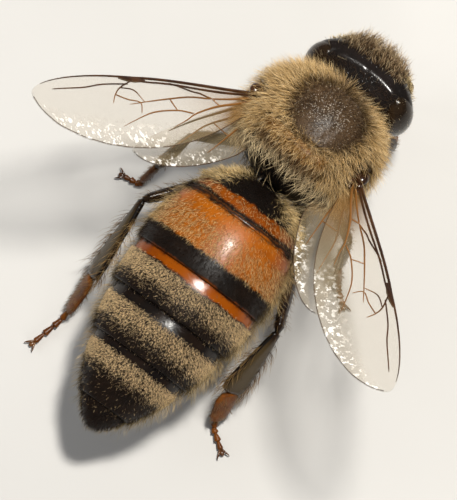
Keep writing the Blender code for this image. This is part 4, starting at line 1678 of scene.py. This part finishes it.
    def feeler(self, side: Side) -> None:
        """Make one elbowed feeler with a long first joint and ten short ones.

        Args:
            side: the side of the head.
        """
        socket = self.on_side(side, (*self.socket, self.front(*self.socket) - 0.08))
        spots = (self.elbow, self.lash_bulge, self.lash_end)
        elbow, bulge, end = (self.on_side(side, spot) for spot in spots)
        scape = tube([socket, elbow], self.scape_profile, 40, 20)
        ring = dome(socket, (self.turn(0, 0, 0.07), self.turn(0.15, 0, 0), self.turn(0, 0.15, 0)), 12, 24)
        word = side.word
        add_piece(f"feeler_base_{word}", [scape, ring], self.finishes.feeler, Slot.BLACK, f"scape_{word}")
        control = bulge * 2 - (elbow + end) / 2
        t = np.linspace(0, 1, 24)[:, None]
        path = elbow * (1 - t) ** 2 + control * 2 * t * (1 - t) + end * t * t
        rows, joints = list(self.lash_root_profile), self.lash_joints
        for number in range(joints):
            low, high = (0.10 + 0.90 * (number + k) / joints for k in (0, 1))
            wide = 0.118 + 0.012 * math.sin(math.pi * (number + 1) / joints)
            rows.append((low + 0.012, wide))
            if number < joints - 1:
                rows += [(high - 0.012, wide), (high, wide * 0.80)]
        rows += [(high - 0.035, wide * 0.8), (high, 0.02)]
        lash = tube(path, rows, 90, 20)
        add_piece(f"feeler_lash_{word}", [lash], self.finishes.feeler, Slot.BLACK, f"flagellum_{word}")

    def mandible(self, side: Side) -> None:
        """Make one spoon-shaped jaw."""
        jaw = tube([self.on_side(side, spot) for spot in self.jaw_path], self.jaw_profile, 40, 20, True)
        add_piece(f"jaw_{side.word}", [jaw], self.finishes.mouth, Slot.FOOT, f"mandible_{side.word}")

    def tongue(self) -> None:
        """Make the folded tongue with its two pairs of sheaths."""
        root, bend, tip = self.place(0, -1.60, 0.05), self.place(0, -2.42, -0.22), bee(0.62, -0.16, 0.34)
        parts = [tube([root, bend, tip], self.tongue_profile, 40, 18, True)]
        for side in Side:
            shift = self.turn(side.value * 0.17, 0, 0.03)
            path = [root + shift, bend + shift * 1.1, tip + shift * 0.5 + self.turn(0, 0.30, 0.02)]
            parts.append(tube(path, self.sheath_profile, 36, 14, True))
            shift = self.turn(side.value * 0.30, 0, 0.10)
            path = [root + shift, bend + shift + self.turn(0, 0.1, 0), tip + shift + self.turn(0, 0.62, 0)]
            parts.append(tube(path, self.palp_profile, 30, 12, True))
        add_piece("tongue", parts, self.finishes.mouth, Slot.FOOT, "proboscis")


# Legs


@dataclass(frozen=True)
class LegBuild:
    """Half-widths of a leg's pieces, broad side and thin side, and what sets a pollen leg apart."""

    femur: Pair
    tibia: Pair
    heel: Pair
    paddle: bool = False
    roll: float = 0.0
    hair: float = 1.0


# The root, hip, knee, ankle, sole and claws of each leg on the bee's own axes
LEG_PLANS = {
    ("front", Side.LEFT): (
        (0.60, 0.52, 1.86), (0.80, 0.86, 1.32), (1.40, 1.72, 1.86),
        (1.95, 1.72, 0.92), (2.28, 1.50, 0.16), (2.64, 1.14, 0.11),
    ),
    ("front", Side.RIGHT): (
        (0.60, -0.52, 1.86), (0.80, -0.86, 1.32), (1.40, -1.66, 1.86),
        (1.90, -1.58, 0.92), (2.22, -1.38, 0.16), (2.60, -1.06, 0.11),
    ),
    ("middle", Side.LEFT): (
        (-0.30, 0.62, 1.88), (-0.55, 1.14, 1.42), (-2.05, 2.86, 2.60),
        (-3.20, 3.22, 1.25), (-3.84, 3.44, 0.16), (-3.94, 3.92, 0.11),
    ),
    ("middle", Side.RIGHT): (
        (-0.30, -0.62, 1.88), (-0.50, -1.14, 1.42), (-1.45, -2.76, 2.75),
        (-1.95, -2.80, 1.20), (-2.34, -3.10, 0.16), (-2.62, -3.52, 0.11),
    ),
    ("hind", Side.LEFT): (
        (-1.20, 0.62, 1.88), (-1.86, 1.16, 1.36), (-4.40, 2.74, 2.20),
        (-7.06, 2.46, 1.42), (-8.42, 2.48, 0.16), (-9.46, 2.66, 0.11),
    ),
    ("hind", Side.RIGHT): (
        (-1.20, -0.62, 1.88), (-1.82, -1.30, 1.40), (-4.82, -2.90, 2.25),
        (-6.98, -2.90, 1.32), (-7.94, -3.06, 0.16), (-8.30, -3.66, 0.11),
    ),
}
LEG_BUILDS = {
    "front": LegBuild((0.26, 0.20), (0.20, 0.16), (0.15, 0.12)),
    "middle": LegBuild((0.27, 0.20), (0.24, 0.17), (0.22, 0.11)),
    "hind": LegBuild((0.30, 0.20), (0.47, 0.13), (0.40, 0.12), True, math.radians(34), 1.3),
}

# Profiles in millimetres, and the shares of a leg's half-widths that carry them on
COXA_PROFILE: Profile = ((0, 0.24, 0.22), (0.5, 0.30, 0.24), (0.9, 0.20, 0.17), (1, 0.08, 0.07))
HIP_PROFILE: Profile = ((0, 0.10, 0.09), (0.04, 0.17, 0.14), (0.11, 0.18, 0.15), (0.14, 0.13, 0.11))
FEMUR_SHARES: Profile = ((0.20, 0.75, 0.85), (0.45, 1), (0.75, 0.90), (0.95, 0.70, 0.75), (1, 0.30, 0.35))
KNEE_PROFILE: Profile = ((0, 0.07, 0.06), (0.03, 0.13, 0.11), (0.10, 0.14, 0.12))
SHIN_SHARES: Profile = ((0.5, 0.85, 1), (0.88, 1), (0.97, 0.8), (1, 0.4))
PADDLE_KNEE_PROFILE: Profile = ((0, 0.07, 0.06), (0.03, 0.15, 0.11), (0.10, 0.17, 0.12))
PADDLE_SHARES: Profile = ((0.35, 0.62, 1), (0.6, 0.86, 1), (0.82, 1), (0.96, 0.94, 0.9), (1, 0.55, 0.5))
HEEL_ENDS: Profile = ((0, 0.05), (1, 0.05))
HEEL_SHARES: Profile = ((0.05, 0.8), (0.25, 1), (0.8, 0.86, 1), (0.96, 0.6, 0.8))
LEG_FURS = (
    Fur(60, (0.16, 0.34), 0.012, 0.8, 0.6, 0.5, 0.3),
    Fur(55, (0.14, 0.34), 0.012, 0.9, 0.5, 0.4, 0.3),
    Fur(70, (0.12, 0.26), 0.011, 0.95, 0.5, 0.35, 0.25),
    Fur(130, (0.09, 0.19), 0.010, 0.95, 0.4, 0.25, 0.2),
)
BASKET_FUR = Fur(420, (0.24, 0.48), 0.013, 0.75, 1.1, 0.3, 0.2, 0.0, (1, 1), 3)
LEG_TILES = 5
LEG_SEED = 53


def sized(shares: Profile, widths: Pair) -> list[Place]:
    """Return a profile from shares of a piece's two half-widths."""
    return [(row[0], row[1] * widths[0], row[-1] * widths[1]) for row in shares]


@dataclass
class Leg:
    """One leg: a continuous shell with waists at its joints, a foot of five joints and two claws."""

    finishes: Finishes
    coat: Coat
    pair: str
    side: Side
    small_joints: int = 4
    claw_sizes: tuple[Place, ...] = ((0.27, 0.17, 0.036), (0.17, 0.10, 0.028))

    def __post_init__(self) -> None:
        """Look up the leg's joints and widths."""
        self.joints = [bee(*spot) for spot in LEG_PLANS[self.pair, self.side]]
        self.widths = LEG_BUILDS[self.pair]

    def build(self) -> None:
        """Make the leg and grow its hair."""
        build = self.widths
        root, hip, knee, ankle = self.joints[:4]
        knee_profile, shares = KNEE_PROFILE, SHIN_SHARES
        if build.paddle:
            knee_profile, shares = PADDLE_KNEE_PROFILE, PADDLE_SHARES
        coxa = tube([root, hip], COXA_PROFILE, 24, 18)
        femur = tube([hip, knee], [*HIP_PROFILE, *sized(FEMUR_SHARES, build.femur)], 48, 20)
        roll = -self.side.value * build.roll
        tibia = tube([knee, ankle], [*knee_profile, *sized(shares, build.tibia)], 60, 24, roll=roll)
        for part, low, high in ((coxa, 0.0, 0.12), (femur, 0.12, 0.5), (tibia, 0.5, 1.0)):
            part.fields["stretch"] = low + part.fields["stretch"] * (high - low)
        tibia.fields["edge_in"] = np.abs(tibia.fields["edge"]) * build.paddle
        label = f"{self.pair}_{self.side.word}"
        nodes = [f"{self.pair}_{part}_{self.side.word}" for part in ("coxa", "femur", "tibia")]
        finish = self.finishes.hind_leg if build.paddle else self.finishes.leg
        add_piece(f"leg_{label}", [coxa, femur, tibia], finish, Slot.LEG, *nodes)
        foot = self.foot()
        foot_node = f"{self.pair}_tarsus_{self.side.word}"
        add_piece(f"foot_{label}", foot, self.finishes.foot, Slot.FOOT, foot_node)
        add_piece(f"claws_{label}", self.claws(), self.finishes.claw, Slot.FOOT)
        self.hair((coxa, femur, tibia, foot[0]))

    def foot(self) -> list[Surface]:
        """Make the heel joint and the small joints behind the claws.

        Returns:
            The skins, the heel joint first.
        """
        ankle, sole, claw = self.joints[3:]
        end = ankle + (sole - ankle) * 0.80
        first, last = HEEL_ENDS
        profile = [first, *sized(HEEL_SHARES, self.widths.heel), last]
        parts = [tube([ankle, end], profile, 44, 20, roll=-self.side.value * self.widths.roll)]
        path = np.array([end, sole, claw])
        lengths = path_lengths(path)
        small = self.small_joints
        for number in range(small):
            cuts = (lengths[-1] * (number + part) / small for part in (-0.06, 0.5, 1.0))
            slim = 0.10 if number < small - 1 else 0.085
            rows = [(0, 0.04), (0.3, slim * 0.75), (0.88, slim, slim * 1.1), (1, 0.05)]
            parts.append(tube([along_path(path, lengths, cut) for cut in cuts], rows, 20, 14))
        return parts

    def claws(self) -> list[Surface]:
        """Make two forked claws and the soft pad between them.

        Returns:
            The skins.
        """
        sole, claw = self.joints[4:]
        ahead = unit((claw - sole) * [1, 1, 0])
        across = np.array([-ahead[1], ahead[0], 0.0])
        parts = []
        for side in Side:
            for reach, spread, thick in self.claw_sizes:
                out = across * side.value * spread
                path = [
                    claw - ahead * 0.05,
                    claw + ahead * reach * 0.45 + out * 0.6 + UP * 0.05,
                    claw + ahead * reach * 0.85 + out + UP * 0.01,
                    claw + ahead * reach + out * 1.05 - UP * 0.085,
                ]
                parts.append(tube(path, [(0, thick), (0.5, thick * 0.8), (1, 0.004)], 22, 10, smooth=True))
        pad = dome(claw + ahead * 0.11 - UP * 0.005, (ahead * 0.10, across * 0.075, UP * 0.05), 12, 16)
        return [*parts, pad]

    def hair(self, parts: Sequence[Surface]) -> None:
        """Grow the leg's bristles, the fringe of a pollen leg and the brush of its heel.

        Args:
            parts: coxa, femur, tibia and heel joint.
        """
        leg = list(LEG_PLANS).index((self.pair, self.side))
        for number, (part, fur) in enumerate(zip(parts, LEG_FURS)):
            run = unit(self.joints[number + 1] - self.joints[number])
            row, column = divmod(leg * len(LEG_FURS) + number, LEG_TILES)
            tile = (column / LEG_TILES, row / LEG_TILES, 1 / LEG_TILES)

            def along(root: Array, normal: Array, run: Array = run) -> Array:
                """Lie towards the foot."""
                return run + 0 * root

            weight: Array | float = 1.0
            if self.widths.paddle and part is parts[2]:
                rim = np.abs(part.fields["edge"])
                weight = 0.12 + 0.5 * step(0.75, 0.95, rim)
                basket = step(0.86, 0.98, rim) * step(0.55, 0.62, part.fields["stretch"])
                self.coat.grow(part, BASKET_FUR, along, basket, self.widths.hair, tile)
            self.coat.grow(part, fur, along, weight, self.widths.hair, tile)


# Wings


# How each pair of wings is held, in degrees: sweep, lift, roll of the chord, the hindwing's fan
WING_POSES = {Side.LEFT: (39.2, 39.4, -13.2, 17), Side.RIGHT: (47.2, 32.1, -15.5, 18)}


@dataclass(frozen=True)
class BladePlan:
    """The outline of a wing.

    Length, front and hind are in millimetres. A bulge is the share of the length where an edge
    stands out most, and the powers of its rise and fall. Breadth is the hind edge's share at the
    root, start the share of the length where the skin begins, pleats how deep its pleats are.
    Veins are half-widths at both ends, and places as shares of length and of chord.
    """

    length: float
    front: float
    hind: float
    front_bulge: Tile
    hind_bulge: Tile
    breadth: float
    start: float
    pleats: float
    veins: tuple[tuple[float, float, Pairs], ...]

    @staticmethod
    def bulge(share: Array, widest: float, rise: float, drop: float) -> Array:
        """Return how far an edge stands out, from 0 to 1, at shares of the wing's length."""
        near = np.sin(math.pi / 2 * np.clip(share / widest, 0, 1)) ** rise
        far = np.sqrt(np.maximum(0, 1 - np.clip((share - widest) / (1 - widest), 0, 1) ** drop))
        return np.where(share < widest, near, far)

    def edges(self, share: Array) -> tuple[Array, Array]:
        """Return the front and hind edge at shares of the wing's length."""
        hind = self.breadth * (1 - share) + (1 - self.breadth) * self.bulge(share, *self.hind_bulge)
        return -self.front * self.bulge(share, *self.front_bulge), self.hind * hind


# The outer ends of the forewing's two longest veins
COSTA_END = ((0.70, 0.012), (0.96, 0.02))
CUBITUS_END = ((0.372, 0.653), (0.44, 0.74))
FOREWING = BladePlan(
    length=8.60, front=0.60, hind=1.92, front_bulge=(0.70, 1.3, 2.2), hind_bulge=(0.60, 0.9, 2.1),
    breadth=0.10, start=0.055, pleats=1.0,
    veins=(
        (0.042, 0.014, ((0, 0.05), (0.15, 0.02), (0.35, 0.01), (0.50, 0.015), (0.55, 0.02), *COSTA_END)),
        (0.034, 0.028, ((0.01, 0.18), (0.20, 0.125), (0.38, 0.07), (0.50, 0.07), (0.55, 0.05))),
        (0.036, 0.024, ((0.01, 0.36), (0.12, 0.33), (0.23, 0.296))),
        (0.026, 0.022, ((0.23, 0.296), (0.275, 0.19), (0.305, 0.163), (0.36, 0.09), (0.401, 0.05))),
        (0.026, 0.014, ((0.23, 0.296), (0.32, 0.262), (0.416, 0.30), (0.513, 0.349), (0.60, 0.40))),
        (0.026, 0.022, ((0.227, 0.30), (0.208, 0.489))),
        (0.036, 0.012, ((0.01, 0.58), (0.10, 0.53), (0.208, 0.489), (0.32, 0.568), *CUBITUS_END)),
        (0.022, 0.018, ((0.416, 0.30), (0.401, 0.49))),
        (0.024, 0.010, ((0.335, 0.56), (0.401, 0.49), (0.506, 0.507), (0.602, 0.626), (0.66, 0.72))),
        (0.024, 0.014, ((0.55, 0.05), (0.617, 0.169), (0.647, 0.269), (0.669, 0.393))),
        (0.024, 0.018, ((0.58, 0.116), (0.691, 0.134), (0.781, 0.184), (0.914, 0.20))),
        (0.020, 0.016, ((0.617, 0.169), (0.56, 0.20), (0.53, 0.355))),
        (0.020, 0.014, ((0.647, 0.269), (0.60, 0.33), (0.55, 0.37), (0.56, 0.52))),
    ),
)
HINDWING = BladePlan(
    length=5.80, front=0.22, hind=1.38, front_bulge=(0.60, 1.0, 2.2), hind_bulge=(0.42, 0.8, 2.0),
    breadth=0.15, start=0.12, pleats=0.5,
    veins=(
        (0.042, 0.018, ((0.00, 0.10), (0.15, 0.07), (0.40, 0.05), (0.60, 0.05), (0.72, 0.06))),
        (0.034, 0.012, ((0.01, 0.30), (0.25, 0.25), (0.45, 0.22), (0.62, 0.34), (0.76, 0.48))),
        (0.030, 0.012, ((0.02, 0.50), (0.20, 0.50), (0.38, 0.60), (0.56, 0.78))),
        (0.022, 0.018, ((0.40, 0.235), (0.36, 0.58))),
    ),
)

# The wing's dark spot as (share of the length, share of the chord), and its profile
STIGMA_PLACES = ((0.50, 0.05), (0.53, 0.05), (0.57, 0.045), (0.61, 0.035))
STIGMA_PROFILE: Profile = ((0, 0.03, 0.04), (0.4, 0.04, 0.08), (0.7, 0.035, 0.07), (1, 0.02))
FORE_HINGE_PROFILE: Profile = ((0, 0.22, 0.26), (0.5, 0.16, 0.2), (1, 0.07, 0.09))
HIND_HINGE_PROFILE: Profile = ((0, 0.18, 0.2), (0.5, 0.11, 0.14), (1, 0.05, 0.07))

# Hinge plates as places along the run and the chord, height over the root, and size
HINGE_PLATES = (
    (0.16, 0.26, 0.24, 0.22),
    (0.38, 0.03, 0.17, 0.13),
    (0.42, 0.33, 0.13, 0.12),
    (0.10, 0.50, 0.22, 0.14),
    (-0.16, 0.30, 0.34, 0.15),
)


@dataclass
class Blade:
    """One wing in its place: its plan, its root, and its axes along, across and out of it."""

    plan: BladePlan
    root: Array
    run: Array
    chord: Array
    face: Array
    thickness: float = 0.10
    vein_lift: float = 0.042
    pleat_height: float = 0.012
    ripple_height: float = 0.010
    rows: int = 120
    columns: int = 46

    def relief(self, share: Array, chord: Array) -> Array:
        """Return the pleats along the wing and the fine ripples of its outer hind part."""
        pleats = self.pleat_height * np.sin(FULL_TURN * (chord * 2.2 + 0.1)) * (1 - 0.6 * share)
        ripples = self.ripple_height * np.sin(70 * share + 9 * chord)
        return pleats + ripples * step(0.45, 0.75, chord) * step(0.4, 0.6, share)

    def place(self, share: Array | float, chord: Array | float, lift: Array | float = 0.0) -> Array:
        """Find places on the wing.

        Args:
            share: share of the wing's length.
            chord: share of its chord, from the front edge.
            lift: distance over its middle.

        Returns:
            The places.
        """
        front, hind = self.plan.edges(share)
        high = lift + self.plan.pleats * self.relief(share, chord)
        parts = np.broadcast_arrays(share * self.plan.length, front + (hind - front) * chord, high)
        along, away, high = (np.asarray(part)[..., None] for part in parts)
        return self.root + self.run * along + self.chord * away + self.face * high

    def sheet(self) -> Surface:
        """Make a thin closed skin over the wing's outline.

        Returns:
            The skin, with its dark root and crinkled trailing part as fields.
        """
        columns = self.columns
        turn = np.linspace(0, math.pi / 2 - 0.015, self.rows)[:, None]
        share = self.plan.start + (1 - self.plan.start) * np.sin(turn)
        spread = 0.5 - 0.5 * np.cos(np.linspace(0, math.pi, columns))
        chord = np.concatenate([spread, spread[::-1][1:-1]])[None]
        sign = np.concatenate([np.ones(columns), -np.ones(columns - 2)])[None]
        sign = np.where((chord == 0) | (chord == 1), 0, sign)
        points = self.place(share, chord, sign * self.thickness / 2)
        trail = step(0.55, 0.85, chord) * step(0.35, 0.6, share)
        return Surface(points, {"root": fall(0.10, 0.46, share), "trail": trail})

    def veins(self) -> list[Surface]:
        """Make the veins as slim tubes on the wing's upper face.

        Returns:
            The skins.
        """
        made = []
        for near, far, spots in self.plan.veins:
            count = 8 * len(spots)
            line = curve(spots, count)
            path = self.place(line[:, 0], np.clip(line[:, 1], 0.004, 0.996), self.vein_lift)
            broad = near * (1.25 if spots[0][0] < 0.05 else 1.0)
            rows = [(0, broad * 0.7), (0.04, broad), (0.5, near), (0.96, far), (1, far * 0.5)]
            vein = tube(path, rows, count, 8)
            vein.fields["behind"] = np.interp(vein.fields["stretch"], np.linspace(0, 1, count), line[:, 1])
            made.append(vein)
        return made

    def rim(self) -> Surface:
        """Return the fine cord that edges the wing behind."""
        share = np.concatenate([np.linspace(self.plan.start, 0.90, 30), np.linspace(0.91, 0.9995, 14)])
        return tube(self.place(share, np.full_like(share, 0.994)), [(0, 0.016), (1, 0.012)], 90, 6)


@dataclass
class Wing:
    """A pair of wings of one side: thin skins stiffened by veins, and the scale over the root."""

    finishes: Finishes
    side: Side
    base: Place = (0.0, 1.90, 4.10)
    drop: float = 0.74

    def __post_init__(self) -> None:
        """Work out the axes and place the two wings."""
        sign = self.side.value
        sweep, lift, roll, fan = (math.radians(turn) for turn in WING_POSES[self.side])
        self.root = bee(self.base[0], sign * self.base[1], self.base[2])
        flat, back, out = math.cos(lift), math.cos(sweep), sign * math.sin(sweep)
        self.run = heading(-flat * back, flat * out, math.sin(lift))
        level = heading(-sign * out, -sign * back, 0)
        upright = unit(UP - self.run * self.run[2])
        self.chord = unit(level * math.cos(roll) - upright * math.sin(roll))
        self.face = unit(np.cross(self.run, self.chord))
        if self.face[2] < 0:
            self.face = -self.face
        fanned = self.run * math.cos(fan) + self.chord * math.sin(fan)
        across = self.chord * math.cos(fan) - self.run * math.sin(fan)
        self.fore = Blade(FOREWING, self.root, self.run, self.chord, self.face)
        self.hind = Blade(HINDWING, self.root - UP * self.drop, fanned, across, self.face)

    def build(self) -> None:
        """Make both wings, their veins and the scale over the root."""
        word, skin = self.side.word, self.finishes.wing
        for name, blade in (("fore", self.fore), ("hind", self.hind)):
            add_piece(f"{name}_membrane_{word}", [blade.sheet()], skin, Slot.WING, f"{name}wing_{word}")
        veins = [*self.fore.veins(), *self.hind.veins(), self.fore.rim(), self.hind.rim()]
        stigma = self.fore.place(*np.array(STIGMA_PLACES).T, 0.03)
        veins.append(tube(stigma, STIGMA_PROFILE, 20, 12, True))
        add_piece(f"veins_{word}", veins, self.finishes.vein, Slot.WING)
        knobs = [self.knob(0.02, -0.08, 0.30, (0.34, 0.24, 0.17), (24, 32))]
        for along, across, high, size in HINGE_PLATES:
            knobs.append(self.knob(along, across, high, (size, size * 0.7, size * 0.6), (18, 24)))
        fore_path = [self.root - self.run * 0.35, self.fore.place(0.08, 0.3)]
        hind_path = [self.hind.root + self.run * 0.1, self.hind.place(0.16, 0.3)]
        knobs += [tube(fore_path, FORE_HINGE_PROFILE, 24, 16), tube(hind_path, HIND_HINGE_PROFILE, 24, 16)]
        add_piece(f"wing_scale_{word}", knobs, self.finishes.tegula, Slot.BLACK, f"tegula_{word}")

    def knob(self, along: float, across: float, high: float, sizes: Place, grid: tuple[int, int]) -> Surface:
        """Make one rounded plate over the wing's root."""
        axes = tuple(axis * size for axis, size in zip((self.run, self.chord, self.face), sizes))
        return dome(self.root + self.run * along + self.chord * across + UP * high, axes, *grid)


# Studio


@dataclass
class Studio:
    """The floor, the soft light and the camera."""

    finishes: Finishes
    aim: Place = (0.171, 0.669, 3.464)
    towards: Place = (-0.1377, 0.1380, 0.9808)
    up: Place = (0.6416, -0.7419, 0.1945)
    frame_height: float = 14.706
    lens: float = 700.0
    film: float = 36.0
    clip: Pair = (0.001, 5.0)
    floor_size: float = 400.0
    floor_rim: Pairs = ((0.98, -3.0), (1.0, -2.7), (1.0, -0.3), (0.98, 0.0))
    lamps: tuple[tuple[str, Place, float, float, Colour], ...] = (
        ("key_lamp", (-6.0, -24.0, 92.0), 12.0, 0.14, (1.0, 0.97, 0.91)),
        ("fill_lamp", (70.0, 30.0, 42.0), 60.0, 0.028, (0.93, 0.96, 1.0)),
        ("edge_lamp", (-66.0, 50.0, 36.0), 50.0, 0.026, (1.0, 0.98, 0.95)),
        ("face_lamp", (20.0, -80.0, 36.0), 50.0, 0.020, (1.0, 0.98, 0.95)),
    )
    sky: Colour = (0.90, 0.93, 0.97)
    sky_strength: float = 0.12

    def build(self) -> None:
        """Make the studio."""
        self.floor()
        for lamp in self.lamps:
            self.lamp(*lamp)
        world = bpy.data.worlds.new("studio_sky")
        world.use_nodes = True
        background = world.node_tree.nodes["Background"]
        background.inputs["Color"].default_value = (*self.sky, 1.0)
        background.inputs["Strength"].default_value = self.sky_strength
        bpy.context.scene.world = world
        bpy.context.scene.view_settings.view_transform = "Standard"
        self.camera()

    def floor(self) -> None:
        """Make the floor with a slightly rounded rim."""
        angle = ring_angles(64)[None]
        share, height = np.array(self.floor_rim).T[..., None]
        radius = share * self.floor_size / 2
        points = np.stack(np.broadcast_arrays(radius * np.cos(angle), radius * np.sin(angle), height), -1)
        join("floor", [Surface(points)], self.finishes.floor)

    def lamp(self, name: str, spot: Place, size: float, power: float, colour: Colour) -> None:
        """Hang one round lamp that faces the bee.

        Args:
            name: the lamp's name.
            spot: its place in millimetres.
            size: its width in millimetres.
            power: its power in watts.
            colour: its colour.
        """
        data = bpy.data.lights.new(name, "AREA")
        data.shape = "DISK"
        data.size = size * MILLIMETRE
        data.energy = power
        data.color = colour
        lamp = bpy.data.objects.new(name, data)
        lamp.visible_glossy = name == "key_lamp"
        lamp.location = Vector(spot) * MILLIMETRE
        target = Vector(self.aim) * MILLIMETRE
        lamp.rotation_euler = (target - lamp.location).to_track_quat("-Z", "Y").to_euler()
        bpy.context.scene.collection.objects.link(lamp)

    def camera(self) -> None:
        """Place the camera above the bee, a little behind and to its right."""
        data = bpy.data.cameras.new("camera")
        data.lens = self.lens
        data.sensor_fit = "VERTICAL"
        data.sensor_height = self.film
        away = self.frame_height * self.lens / self.film
        back, up = Vector(self.towards).normalized(), Vector(self.up).normalized()
        right = up.cross(back).normalized()
        up = back.cross(right)
        place = (Vector(self.aim) + back * away) * MILLIMETRE
        data.clip_start, data.clip_end = self.clip
        camera = bpy.data.objects.new("camera", data)
        camera.matrix_world = Matrix.Translation(place) @ Matrix((right, up, back)).transposed().to_4x4()
        bpy.context.scene.collection.objects.link(camera)
        bpy.context.scene.camera = camera


def main() -> None:
    """Build the bee from its waist outwards, then the studio."""
    logging.basicConfig(level=logging.INFO, format="%(name)s: %(message)s")
    finishes = Finishes()
    abdomen = Abdomen(finishes)
    abdomen.plates()
    abdomen.waist()
    abdomen.coat()
    Thorax(finishes).build()
    Head(finishes).build()
    leg_coat = Coat("leg_coat", LEG_SEED, ("stretch",))
    for pair in LEG_BUILDS:
        for side in Side:
            Leg(finishes, leg_coat, pair, side).build()
    leg_coat.make(finishes.leg_hair)
    for side in Side:
        Wing(finishes, side).build()
    Studio(finishes).build()
    meshes = (piece.data for piece in bpy.data.objects if piece.type == "MESH")
    LOG.info("%d triangles in all", sum(len(face.vertices) - 2 for mesh in meshes for face in mesh.polygons))


if __name__ == "__main__":
    main()
